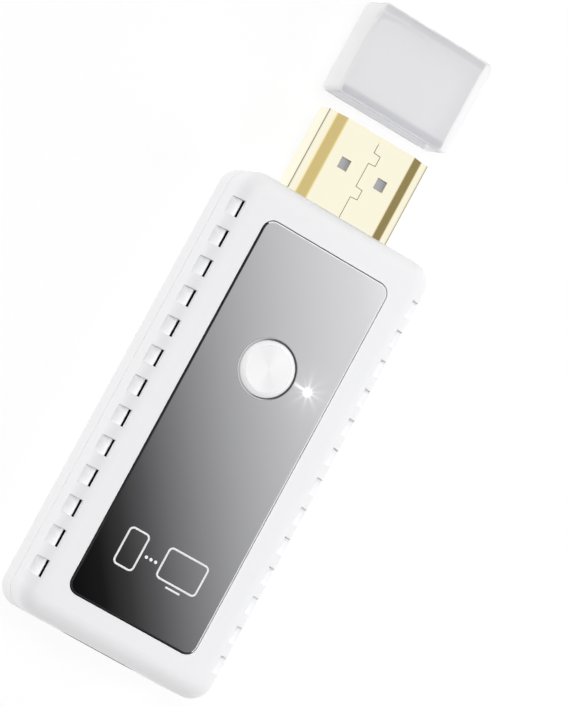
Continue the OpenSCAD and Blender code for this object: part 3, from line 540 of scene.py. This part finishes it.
# frosted polyethylene: cloudy, lets light through; painted light brightens its side walls
capPlan = {
    "colour": "#ffffff", "tint": "#fefeff", "roughness": 0.42, "swing": 0.02,
    "grainMm": (0.8, 0.8, 0.8), "reliefMm": 0.0001,
    "sockets": {"IOR": 1.40, "Transmission Weight": 0.9},
    "broadColour": "#f4f4f5", "broadFacing": 0.9,    # its broad faces are textured and pass less light
    # its side walls are thick along the view, so they scatter more and look whiter
    "wallShiftMm": -0.35, "wallDepthMm": 1.0, "wallSkinMm": 0.6, "wallTransmission": 0.25,
    "wallPaintedLight": 0.08,                 # painted light on the side walls, most on the one toward +X
    # painted shade: the broad faces are greyer over the rim of the mouth and over the closed end
    "endDepthMm": 1.3, "endSkinMm": 0.8, "endColour": "#dcdce0",
    "endFacing": 0.6,                 # the closed end's own face is no side wall
}


def makeFrosted(plan, box):
    finish = makeFinish("frostedPolyethylene", plan)
    tree = finish["tree"]
    place = addNode(tree, "ShaderNodeSeparateXYZ", inputs={0: finish["spot"]})
    facing = addNode(tree, "ShaderNodeSeparateXYZ", inputs={0: finish["normal"]})
    halfWide, halfLong = box["half"][:2]

    across = addNode(tree, "ShaderNodeMath", {"operation": "SUBTRACT"}, {
        0: place.outputs["X"], 1: plan["wallShiftMm"] * mm})
    side = addNode(tree, "ShaderNodeMath", {"operation": "ABSOLUTE"}, {0: across.outputs[0]})
    lengthwise = addNode(tree, "ShaderNodeMath", {"operation": "LESS_THAN"}, {
        0: facing.outputs["Y"], 1: plan["endFacing"]})
    skin = (halfWide - plan["wallSkinMm"]) * mm
    wall = addNode(tree, "ShaderNodeMapRange", {"interpolation_type": "SMOOTHSTEP"}, {
        "Value": side.outputs[0], "From Min": (halfWide - plan["wallDepthMm"]) * mm,
        "From Max": skin, "To Max": lengthwise.outputs[0]})
    clear = addNode(tree, "ShaderNodeMapRange", inputs={
        "Value": wall.outputs[0], "To Min": plan["sockets"]["Transmission Weight"],
        "To Max": plan["wallTransmission"]})
    tree.links.new(clear.outputs[0], finish["bsdf"].inputs["Transmission Weight"])
    # painted light on the side walls
    wallLightShare = addNode(tree, "ShaderNodeMapRange", inputs={
        "Value": across.outputs[0], "From Min": -skin, "From Max": skin, "To Max": plan["wallPaintedLight"]})
    glow = addNode(tree, "ShaderNodeMath", {"operation": "MULTIPLY"}, {
        0: wall.outputs[0], 1: wallLightShare.outputs[0]})
    giveLight(finish, glow.outputs[0])

    height = addNode(tree, "ShaderNodeMath", {"operation": "ABSOLUTE"}, {0: facing.outputs["Z"]})
    broad = addNode(tree, "ShaderNodeMath", {"operation": "GREATER_THAN"}, {
        0: height.outputs[0], 1: plan["broadFacing"]})
    inner = addNode(tree, "ShaderNodeMath", {"operation": "SUBTRACT", "use_clamp": True}, {
        0: broad.outputs[0], 1: wall.outputs[0]})
    layOver(finish, inner.outputs[0], plan["broadColour"])
    # painted shade over the mouth's rim and the closed end
    along = addNode(tree, "ShaderNodeMath", {"operation": "SUBTRACT"}, {
        0: place.outputs["Y"], 1: box["middle"][1] * mm})
    reach = addNode(tree, "ShaderNodeMath", {"operation": "ABSOLUTE"}, {0: along.outputs[0]})
    ends = addNode(tree, "ShaderNodeMapRange", {"interpolation_type": "SMOOTHSTEP"}, {
        "Value": reach.outputs[0], "From Min": (halfLong - plan["endDepthMm"]) * mm,
        "From Max": (halfLong - plan["endSkinMm"]) * mm})
    grey = addNode(tree, "ShaderNodeMath", {"operation": "MULTIPLY"}, {
        0: ends.outputs[0], 1: inner.outputs[0]})
    layOver(finish, grey.outputs[0], plan["endColour"])
    return finish


dress(makeFrosted(capPlan, nodeBox("plug_cap")), "plug_cap")

# stamped stainless sheet: grey, with fine rolling lines
steelPlan = {
    "colour": "#c9cacd", "tint": "#bdbec2", "roughness": 0.28, "swing": 0.06,
    "grainMm": (0.12, 2.0, 0.12),    # too fine to show, so drawn coarser
    "reliefMm": 0.0005, "edgeMm": 0.03, "sockets": {"Metallic": 1.0},
}
dress(makeFinish("stampedSteel", steelPlan), "switch_cover", "radio_shield", "crystal")

# deep drawn steel with black nickel plate: the inlet's dark, satin mouth
nickelPlan = {
    "colour": "#7b7c80", "tint": "#707176", "roughness": 0.32, "swing": 0.05,
    "grainMm": (1.2, 0.12, 1.2),    # too fine to show, so drawn coarser
    "reliefMm": 0.0004, "edgeMm": 0.03, "sockets": {"Metallic": 1.0},
}
dress(makeFinish("blackNickel", nickelPlan), "inlet_shell")

# acetal: waxy grey plastic that slides well
acetalPlan = {
    "colour": "#c4c4c6", "tint": "#bcbcbf", "roughness": 0.38, "swing": 0.05,
    "grainMm": (0.2, 0.2, 0.2), "reliefMm": 0.001,
    "sockets": {"IOR": 1.48, "Subsurface Weight": 0.1, "Subsurface Scale": 0.5 * mm},
}
dress(makeFinish("acetal", acetalPlan), "button_stem")

# closed cell foam tape: black, soft and open at the cut edge
foamPlan = {
    "colour": "#121214", "tint": "#222225", "roughness": 0.9, "swing": 0.05,
    "grainMm": (0.15, 0.15, 0.15),    # too fine to show, so drawn coarser
    "reliefMm": 0.02, "sockets": {"IOR": 1.45},
}
dress(makeFinish("foamTape", foamPlan), "panel_tape")

# clear polycarbonate light pipe: painted light makes its window glow, standing in for the lamp below
pipePlan = {
    "colour": "#f6faff", "tint": "#ffffff", "roughness": 0.12, "swing": 0.03,
    "grainMm": (0.5, 0.5, 0.5), "reliefMm": 0.0005,
    "sockets": {"IOR": 1.58, "Transmission Weight": 0.4,
                "Emission Color": white, "Emission Strength": 1.4},
}
dress(makeFinish("clearPolycarbonate", pipePlan), "light_pipe")

# the lamp itself: phosphor under a clear resin, glowing
lampPlan = {
    "colour": "#fff6c8", "tint": "#ffee9e", "roughness": 0.3, "swing": 0.05,
    "grainMm": (0.1, 0.1, 0.1),    # too fine to show, so drawn coarser
    "reliefMm": 0.001,
    "sockets": {"IOR": 1.5, "Emission Color": (1.0, 0.98, 0.92, 1.0), "Emission Strength": 2.0},
}
dress(makeFinish("phosphorLamp", lampPlan), "status_led")

# epoxy moulding compound on the chips: black, finely matt
epoxyPlan = {
    "colour": "#19191b", "tint": "#242427", "roughness": 0.6, "swing": 0.08,
    "grainMm": (0.12, 0.12, 0.12),    # too fine to show, so drawn coarser
    "reliefMm": 0.004, "sockets": {"IOR": 1.55},
}
epoxy = makeFinish("epoxyCompound", epoxyPlan)
dress(epoxy, "processor", "memory_chip", "radio_chip", "regulator")

# silicone pad: pale blue and soft
siliconePlan = {
    "colour": "#8ba3b4", "tint": "#7d96a8", "roughness": 0.7, "swing": 0.05,
    "grainMm": (0.2, 0.2, 0.2), "reliefMm": 0.01,
    "sockets": {"IOR": 1.41, "Subsurface Weight": 0.1, "Subsurface Scale": 0.3 * mm},
}
dress(makeFinish("siliconePad", siliconePlan), "thermal_pad")

# extruded aluminium: fine lines along the fins
finPlan = {
    "colour": "#c6c8cb", "tint": "#b9bbbf", "roughness": 0.34, "swing": 0.07,
    "grainMm": (0.12, 3.0, 0.12),    # too fine to show, so drawn coarser
    "reliefMm": 0.0008, "sockets": {"Metallic": 1.0},
}
dress(makeFinish("extrudedAluminium", finPlan), "heat_sink")

# brass strip for the antenna
brassPlan = {
    "colour": "#dcb765", "tint": "#cda552", "roughness": 0.3, "swing": 0.08,
    "grainMm": (0.1, 1.5, 0.1), "reliefMm": 0.0005, "sockets": {"Metallic": 1.0},
}
dress(makeFinish("brassStrip", brassPlan), "antenna")

# ferrite in the inductors: dark grey and slightly glossy
ferritePlan = {
    "colour": "#36363a", "tint": "#2c2c30", "roughness": 0.45, "swing": 0.1,
    "grainMm": (0.12, 0.12, 0.12),    # too fine to show, so drawn coarser
    "reliefMm": 0.004, "sockets": {"IOR": 1.9},
}
dress(makeFinish("ferrite", ferritePlan), "inductors")


# parts with tinned ends or legs: what lies outside the bodies' boxes is tin
tinColour = "#d4d5d8"


def chipBodies(box, plan):
    # the bodies of two rows of chips, whose tinned ends point to the board's sides
    x, y, z = box["middle"]
    wide, long, thick = box["half"]
    half = (plan["bodyMm"] / 2, long + plan["bodyMm"], thick + plan["bodyMm"])
    return [((x + side * (wide - plan["rowInMm"]), y, z), half) for side in (1, -1)]


def makeTinned(name, plan, bodies):
    finish = makeFinish(name, plan)
    tin = outsideBoxes(finish, bodies)
    layOver(finish, tin, tinColour)
    finish["tree"].links.new(tin, finish["bsdf"].inputs["Metallic"])
    return finish


# barium titanate ceramic with tinned ends
capacitorPlan = {
    "colour": "#a58563", "tint": "#957555", "roughness": 0.45, "swing": 0.08,
    "grainMm": (0.12, 0.12, 0.12),    # too fine to show, so drawn coarser
    "reliefMm": 0.003, "rowInMm": 0.512, "bodyMm": 0.56,
}
capacitorBodies = chipBodies(nodeBox("capacitors"), capacitorPlan)
dress(makeTinned("bariumTitanate", capacitorPlan, capacitorBodies), "capacitors")

# thick film resistors: black glaze between tinned ends
resistorPlan = {
    "colour": "#202024", "tint": "#2a2a2f", "roughness": 0.35, "swing": 0.05,
    "grainMm": (0.1, 0.1, 0.1),    # too fine to show, so drawn coarser
    "reliefMm": 0.002, "rowInMm": 0.496, "bodyMm": 0.6,
}
resistorBodies = chipBodies(nodeBox("resistors"), resistorPlan)
dress(makeTinned("thickFilm", resistorPlan, resistorBodies), "resistors")

# flash memory: epoxy body and tinned legs
flashBody = ((-7.6, 4.5, 6.5), (2.05, 2.02, 0.6))    # middle and half sizes in mm
dress(makeTinned("leggedEpoxy", epoxyPlan, [flashBody]), "flash_chip")


# solder mask over copper: green, with tracks that show as a paler green, and pale glass fibre edges
boardPlan = {
    "colour": "#0d4a2c", "tint": "#0b4227", "roughness": 0.32, "swing": 0.05,
    "grainMm": (0.3, 0.3, 0.3), "reliefMm": 0.002, "sockets": {"IOR": 1.52},
    "trackColour": "#1d7044", "trackPitchMm": 0.5, "trackShare": 0.08, "trackRun": 7.0, "trackOffset": 0.35,
    "rimColour": "#b9a878", "rimMm": 0.04,
}


def makeBoard(plan, box):
    finish = makeFinish("solderMask", plan)
    tree = finish["tree"]
    pitched = addNode(tree, "ShaderNodeMapping", inputs={
        "Vector": finish["spot"], "Scale": [1 / (plan["trackPitchMm"] * mm)] * 3})
    tracks = addNode(tree, "ShaderNodeTexBrick", {"offset": plan["trackOffset"]}, {
        "Vector": pitched.outputs[0], "Color1": hexLinear(plan["colour"]),
        "Color2": hexLinear(plan["tint"]), "Mortar": hexLinear(plan["trackColour"]), "Scale": 1.0,
        "Mortar Size": plan["trackShare"], "Brick Width": plan["trackRun"], "Row Height": 1.0})
    finish["colour"] = tracks.outputs[0]
    wide, long, thick = box["half"]
    faces = (box["middle"], (wide - plan["rimMm"], long - plan["rimMm"], thick + plan["rimMm"]))
    layOver(finish, outsideBoxes(finish, [faces]), plan["rimColour"])
    return finish


dress(makeBoard(boardPlan, nodeBox("main_board")), "main_board")
print("finishes made:", len(bpy.data.materials))


def addPiece(name, mesh, material, body):
    mesh.name = name
    mesh.materials.clear()
    mesh.materials.append(material)
    piece = bpy.data.objects.new(name, mesh)
    scene.collection.objects.link(piece)
    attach(piece, body)
    return piece


def growMesh(tree, values):
    # runs a Geometry Nodes tree on an empty mesh and returns the plain mesh
    seed = bpy.data.objects.new("seed", bpy.data.meshes.new("seed"))
    scene.collection.objects.link(seed)
    modifier = seed.modifiers.new("grow", "NODES")
    modifier.node_group = tree
    sockets = {item.name: item.identifier for item in tree.interface.items_tree
               if item.item_type == "SOCKET" and item.in_out == "INPUT"}
    for name, value in values.items():
        modifier[sockets[name]] = value
    graph = bpy.context.evaluated_depsgraph_get()
    mesh = bpy.data.meshes.new_from_object(seed.evaluated_get(graph))
    seed.modifiers.remove(modifier)
    bpy.data.objects.remove(seed)
    return mesh


def newTree(name, inputs):
    # inputs gives the names of the sockets of each kind
    tree = bpy.data.node_groups.new(name, "GeometryNodeTree")
    for kind, labels in inputs.items():
        for label in labels:
            tree.interface.new_socket(label, in_out="INPUT", socket_type="NodeSocket" + kind)
    tree.interface.new_socket("Geometry", in_out="OUTPUT", socket_type="NodeSocketGeometry")
    return tree, addNode(tree, "NodeGroupInput").outputs


def endTree(tree, given, geometry):
    real = addNode(tree, "GeometryNodeRealizeInstances", inputs={0: geometry})
    done = addNode(tree, "GeometryNodeSetMaterial", inputs={
        "Geometry": real.outputs[0], "Material": given["Material"]})
    addNode(tree, "NodeGroupOutput", inputs={0: done.outputs[0]})
    return tree


def latheMesh(profile, centreMm, segments, closed=False):
    # profile is (radius, height) in mm; it ends on the axis, or closes on itself as a ring's section
    mesh = bpy.data.meshes.new("lathe")
    work = bmesh.new()
    rings = []
    for radius, height in profile:
        ring = []
        for step in range(segments if radius else 1):
            turn = math.tau * step / segments
            ring.append(work.verts.new(((centreMm[0] + radius * math.cos(turn)) * mm,
                                        (centreMm[1] + radius * math.sin(turn)) * mm, height * mm)))
        rings.append(ring)
    pairs = list(zip(rings, rings[1:]))
    if closed:
        pairs.append((rings[-1], rings[0]))
    for low, high in pairs:
        for step in range(segments):
            after = (step + 1) % segments
            if len(low) == 1:
                work.faces.new((low[0], high[after], high[step]))
            elif len(high) == 1:
                work.faces.new((low[step], low[after], high[0]))
            else:
                work.faces.new((low[step], low[after], high[after], high[step]))
    for face in work.faces:
        face.smooth = True
    bmesh.ops.recalc_face_normals(work, faces=work.faces)
    work.to_mesh(mesh)
    work.free()
    return mesh


# spun aluminium button: fine rings cut round its face, a bright bevel and a plain skirt
buttonBox = nodeBox("button_cap")
ringBox = nodeBox("button_ring")
buttonPlan = {
    "centreMm": ringBox["middle"][:2], "bottomMm": buttonBox["low"][2], "topMm": buttonBox["high"][2],
    "radiusMm": buttonBox["high"][0] - ringBox["middle"][0], "bevelWideMm": 0.525, "bevelDeepMm": 0.42,
    "easeMm": 0.035,
    # points of the two eased edges, out and up from each edge, in shares of the ease
    "shoulderShares": [(0.0, -1.0), (-0.3, 0.4)], "faceShares": [(1.0, -1.0), (0.3, -0.15), (-1.0, 0.0)],
    "ringPitchMm": 0.095, "ringDepthMm": 0.0022, "ringPoints": 4, "hubRadiusMm": 0.12, "segments": 160,
}
spunPlan = {
    "colour": "#fdfdfe", "tint": "#fbfbfc", "roughness": 0.24, "swing": 0.01,
    "grainMm": (0.6, 0.6, 0.6), "reliefMm": 0.0001, "sockets": {"Anisotropic": 0.6},
    "faceMetal": 0.45, "bevelMetal": 0.0,    # the share that mirrors; the rest is scattered by the grain
    "bevelPaintedLight": 0.22,                # painted light on the bevel, in place of what the mirror panel below throws up
    # painted shade: two darker fans on opposite sides, standing in for the light that strays least along the
    # rings' run
    "fanShadeColour": "#f3f3f5", "fanToward": (-0.48, 0.88, 0.0), "fanSharpness": 6.0,
}


def makeSpun(plan, button):
    # the tool's rings stretch each highlight out from the centre
    finish = makeFinish("spunAluminium", plan)
    tree = finish["tree"]
    tangent = addNode(tree, "ShaderNodeTangent", {"direction_type": "RADIAL", "axis": "Z"})
    tree.links.new(tangent.outputs[0], finish["bsdf"].inputs["Tangent"])
    toward, away = fromPoint(finish, (*button["centreMm"], button["topMm"]))
    # painted shade: two darker fans
    along = addNode(tree, "ShaderNodeVectorMath", {"operation": "DOT_PRODUCT"}, {
        0: toward, 1: plan["fanToward"]})
    either = addNode(tree, "ShaderNodeMath", {"operation": "ABSOLUTE"}, {0: along.outputs["Value"]})
    fan = addNode(tree, "ShaderNodeMath", {"operation": "POWER"}, {
        0: either.outputs[0], 1: plan["fanSharpness"]})
    layOver(finish, fan.outputs[0], plan["fanShadeColour"])
    faceRadiusMm = button["radiusMm"] - button["bevelWideMm"]
    bevel = addNode(tree, "ShaderNodeMapRange", inputs={
        "Value": away, "From Min": faceRadiusMm * mm,
        "From Max": (faceRadiusMm + button["easeMm"]) * mm})
    metal = addNode(tree, "ShaderNodeMapRange", inputs={
        "Value": bevel.outputs[0], "To Min": plan["faceMetal"], "To Max": plan["bevelMetal"]})
    tree.links.new(metal.outputs[0], finish["bsdf"].inputs["Metallic"])
    # painted light on the bevel
    glow = addNode(tree, "ShaderNodeMath", {"operation": "MULTIPLY"}, {
        0: bevel.outputs[0], 1: plan["bevelPaintedLight"]})
    giveLight(finish, glow.outputs[0])
    return finish


def buildButton(plan, finish):
    ease, outer = plan["easeMm"], plan["radiusMm"]
    face = outer - plan["bevelWideMm"]
    low, top = plan["bottomMm"], plan["topMm"]
    shoulder = top - plan["bevelDeepMm"]
    profile = [(0, low), (outer - ease, low), (outer, low + ease)]
    profile += [(outer + ease * out, shoulder + ease * up) for out, up in plan["shoulderShares"]]
    profile += [(face + ease * out, top + ease * up) for out, up in plan["faceShares"]]
    radius = face - 2 * ease
    count = 0
    while radius > plan["hubRadiusMm"]:
        depth = plan["ringDepthMm"] * (1 - math.cos(math.tau * count / plan["ringPoints"])) / 2
        profile.append((radius, top - depth))
        radius -= plan["ringPitchMm"] / plan["ringPoints"]
        count += 1
    profile.append((0, top))
    mesh = latheMesh(profile, plan["centreMm"], plan["segments"])
    button = addPiece("spunButton", mesh, finish["material"], "button")
    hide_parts("button_cap")


buildButton(buttonPlan, makeSpun(spunPlan, buttonPlan))


# trim ring: rolled wire with a round top, chromed and polished, and darkened on one side by painted shade
ringPlan = {
    "centreMm": ringBox["middle"][:2], "outerMm": ringBox["half"][0], "thickMm": 0.2,
    "bottomMm": ringBox["low"][2], "topMm": ringBox["high"][2],
    "crownMm": 0.06, "crownSteps": 10, "segments": 160,
}
chromePlan = {
    "colour": "#d6d6d9", "tint": "#cfcfd3", "roughness": 0.10, "swing": 0.02,
    "grainMm": (0.4, 0.4, 0.4), "reliefMm": 0.0002, "sockets": {"Metallic": 1.0},
    # painted shade: dark grey covers its inner half, on the side away from the light
    "sideShadeColour": "#505053", "shadeToward": (0.87, 0.50, 0.0), "shadeFrom": -0.35, "shadeTo": 0.35,
}


def makeChrome(plan, ring):
    finish = makeFinish("polishedChrome", plan)
    tree = finish["tree"]
    toward, away = fromPoint(finish, (*ring["centreMm"], ring["topMm"]))
    # painted shade on the inner half, on one side
    side = addNode(tree, "ShaderNodeVectorMath", {"operation": "DOT_PRODUCT"}, {
        0: toward, 1: plan["shadeToward"]})
    inner = addNode(tree, "ShaderNodeMath", {"operation": "LESS_THAN"}, {
        0: away, 1: (ring["outerMm"] - ring["thickMm"] / 2) * mm})
    share = addNode(tree, "ShaderNodeMapRange", {"interpolation_type": "SMOOTHSTEP"}, {
        "Value": side.outputs["Value"], "From Min": plan["shadeFrom"], "From Max": plan["shadeTo"],
        "To Max": inner.outputs[0]})
    layOver(finish, share.outputs[0], plan["sideShadeColour"])
    return finish


def buildRing(plan, finish):
    half = plan["thickMm"] / 2
    middle = plan["outerMm"] - half
    shoulder = plan["topMm"] - plan["crownMm"]
    profile = [(middle - half, plan["bottomMm"]), (middle + half, plan["bottomMm"])]
    for step in range(plan["crownSteps"] + 1):
        turn = math.pi * step / plan["crownSteps"]
        profile.append((middle + half * math.cos(turn), shoulder + plan["crownMm"] * math.sin(turn)))
    mesh = latheMesh(profile, plan["centreMm"], plan["segments"], closed=True)
    ring = addPiece("chromeRing", mesh, finish["material"], "case")
    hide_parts("button_ring")


buildRing(ringPlan, makeChrome(chromePlan, ringPlan))
print("button turned")


# contact springs in the plug: each bows into the slot and rises again at its tip
springPlan = {
    "pitchMm": 1.0, "widthMm": 0.45, "bendFrom": 0.52, "bowMm": 0.10, "points": 33,
    "rows": {"springsUpper": {"node": "plug_contacts_upper", "count": 10, "side": 1},
             "springsLower": {"node": "plug_contacts_lower", "count": 9, "side": -1}},
}


def buildSpringTree():
    tree, given = newTree("contactSprings", {
        "Int": ["Count", "Points"], "Vector": ["Start", "End"], "Material": ["Material"],
        "Float": ["Pitch", "First", "Width", "Thickness", "Bow", "Bend From"]})
    line = addNode(tree, "GeometryNodeCurvePrimitiveLine", inputs={
        "Start": given["Start"], "End": given["End"]})
    fine = addNode(tree, "GeometryNodeResampleCurve", inputs={
        "Curve": line.outputs[0], "Count": given["Points"]})
    along = addNode(tree, "GeometryNodeSplineParameter").outputs["Factor"]
    share = addNode(tree, "ShaderNodeMapRange", inputs={
        "Value": along, "From Min": given["Bend From"], "From Max": 1.0, "To Min": 0.0, "To Max": math.tau})
    wave = addNode(tree, "ShaderNodeMath", {"operation": "COSINE"}, {0: share.outputs[0]})
    lift = addNode(tree, "ShaderNodeMath", {"operation": "SUBTRACT"}, {0: wave.outputs[0], 1: 1.0})
    move = addNode(tree, "ShaderNodeMath", {"operation": "MULTIPLY"}, {0: lift.outputs[0], 1: given["Bow"]})
    offset = addNode(tree, "ShaderNodeCombineXYZ", inputs={"Z": move.outputs[0]})
    bent = addNode(tree, "GeometryNodeSetPosition", inputs={
        "Geometry": fine.outputs[0], "Offset": offset.outputs[0]})
    section = addNode(tree, "GeometryNodeCurvePrimitiveQuadrilateral", inputs={
        "Width": given["Thickness"], "Height": given["Width"]})
    spring = addNode(tree, "GeometryNodeCurveToMesh", inputs={
        "Curve": bent.outputs[0], "Profile Curve": section.outputs[0], "Fill Caps": True})
    start = addNode(tree, "ShaderNodeCombineXYZ", inputs={"X": given["First"]})
    step = addNode(tree, "ShaderNodeCombineXYZ", inputs={"X": given["Pitch"]})
    row = addNode(tree, "GeometryNodeMeshLine", inputs={
        "Count": given["Count"], "Start Location": start.outputs[0], "Offset": step.outputs[0]})
    copies = addNode(tree, "GeometryNodeInstanceOnPoints", inputs={
        "Points": row.outputs[0], "Instance": spring.outputs[0]})
    return endTree(tree, given, copies.outputs[0])


def buildSprings(plan, finish):
    tree = buildSpringTree()
    for name, row in plan["rows"].items():
        box = nodeBox(row["node"])
        height = box["middle"][2] * mm
        mesh = growMesh(tree, {
            "Count": row["count"], "Points": plan["points"], "Pitch": plan["pitchMm"] * mm,
            "First": -(row["count"] - 1) / 2 * plan["pitchMm"] * mm,
            "Start": (0.0, box["low"][1] * mm, height), "End": (0.0, box["high"][1] * mm, height),
            "Width": plan["widthMm"] * mm, "Thickness": 2 * box["half"][2] * mm,
            "Bow": plan["bowMm"] * row["side"] * mm, "Bend From": plan["bendFrom"],
            "Material": finish["material"]})
        springs = addPiece(name, mesh, finish["material"], "case")
        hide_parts(row["node"])


buildSprings(springPlan, contactGold)
print("contact springs bent")


# printed pictogram near the panel's inlet end: a phone, three dots and a screen on a stand, in white ink
panelBox = nodeBox("face_panel")
pictogramPlan = {
    "centreMm": (panelBox["middle"][0], panelBox["low"][1] + 7.4), "faceMm": panelBox["high"][2],
    "inkMm": 0.02, "lineMm": 0.24, "cornerMm": 0.5, "cornerPoints": 8,
    "phoneMm": (2.5, 4.5), "phoneAtMm": -4.0, "screenMm": (5.2, 3.7), "screenAtMm": (2.6, 0.5),
    "footMm": 1.9, "footGapMm": 0.55,
    "dotMm": 0.2, "dotCount": 3, "dotPitchMm": 0.62, "dotsAtMm": -1.38, "dotCorners": 24,
}
# screen printed ink: matt white, thin, its edge slightly soft
inkPlan = {
    "colour": "#ffffff", "tint": "#fcfcfc", "roughness": 0.5, "swing": 0.05,
    "grainMm": (0.12, 0.12, 0.12),    # too fine to show, so drawn coarser
    "reliefMm": 0.001, "sockets": {"IOR": 1.5},
}


def buildPictogramTree():
    tree, given = newTree("pictogram", {
        "Float": ["Phone Width", "Phone Height", "Screen Width", "Screen Height", "Corner", "Line Width",
                  "Ink", "Dot Radius"],
        "Vector": ["Phone Place", "Screen Place", "Foot Start", "Foot End", "Dot Start", "Dot Step"],
        "Int": ["Corner Points", "Dot Count", "Dot Corners"], "Material": ["Material"]})
    section = addNode(tree, "GeometryNodeCurvePrimitiveQuadrilateral", inputs={
        "Width": given["Line Width"], "Height": given["Ink"]})
    lines = addNode(tree, "GeometryNodeJoinGeometry")
    for piece in ("Phone", "Screen"):
        outline = addNode(tree, "GeometryNodeCurvePrimitiveQuadrilateral", inputs={
            "Width": given[piece + " Width"], "Height": given[piece + " Height"]})
        eased = addNode(tree, "GeometryNodeFilletCurve", {"mode": "POLY"}, {
            "Curve": outline.outputs[0], "Radius": given["Corner"], "Count": given["Corner Points"]})
        placed = addNode(tree, "GeometryNodeTransform", inputs={
            "Geometry": eased.outputs[0], "Translation": given[piece + " Place"]})
        tree.links.new(placed.outputs[0], lines.inputs[0])
    foot = addNode(tree, "GeometryNodeCurvePrimitiveLine", inputs={
        "Start": given["Foot Start"], "End": given["Foot End"]})
    tree.links.new(foot.outputs[0], lines.inputs[0])
    inked = addNode(tree, "GeometryNodeCurveToMesh", inputs={
        "Curve": lines.outputs[0], "Profile Curve": section.outputs[0], "Fill Caps": True})
    points = addNode(tree, "GeometryNodeMeshLine", inputs={
        "Count": given["Dot Count"], "Start Location": given["Dot Start"], "Offset": given["Dot Step"]})
    dot = addNode(tree, "GeometryNodeMeshCylinder", inputs={
        "Vertices": given["Dot Corners"], "Radius": given["Dot Radius"], "Depth": given["Ink"]})
    dots = addNode(tree, "GeometryNodeInstanceOnPoints", inputs={
        "Points": points.outputs[0], "Instance": dot.outputs[0]})
    both = addNode(tree, "GeometryNodeJoinGeometry")
    tree.links.new(inked.outputs[0], both.inputs[0])
    tree.links.new(dots.outputs[0], both.inputs[0])
    return endTree(tree, given, both.outputs[0])


def buildPictogram(plan, finish):
    x, y = plan["centreMm"]
    z = plan["faceMm"] + plan["inkMm"] / 2

    def at(right, up):
        return ((x + right) * mm, (y + up) * mm, z * mm)

    phoneWide, phoneHigh = plan["phoneMm"]
    screenWide, screenHigh = plan["screenMm"]
    screenX, screenY = plan["screenAtMm"]
    footY = screenY - screenHigh / 2 - plan["footGapMm"]
    firstDot = plan["dotsAtMm"] - (plan["dotCount"] - 1) / 2 * plan["dotPitchMm"]
    mesh = growMesh(buildPictogramTree(), {
        "Phone Width": phoneWide * mm, "Phone Height": phoneHigh * mm,
        "Phone Place": at(plan["phoneAtMm"], 0.0),
        "Screen Width": screenWide * mm, "Screen Height": screenHigh * mm,
        "Screen Place": at(screenX, screenY),
        "Foot Start": at(screenX - plan["footMm"] / 2, footY),
        "Foot End": at(screenX + plan["footMm"] / 2, footY),
        "Corner": plan["cornerMm"] * mm, "Corner Points": plan["cornerPoints"],
        "Line Width": plan["lineMm"] * mm, "Ink": plan["inkMm"] * mm,
        "Dot Radius": plan["dotMm"] * mm, "Dot Corners": plan["dotCorners"], "Dot Count": plan["dotCount"],
        "Dot Start": at(firstDot, 0.0), "Dot Step": (plan["dotPitchMm"] * mm, 0.0, 0.0),
        "Material": finish["material"]})
    addPiece("pictogram", mesh, finish["material"], "case")


buildPictogram(pictogramPlan, makeFinish("screenInk", inkPlan))
print("pictogram printed")


print("done")
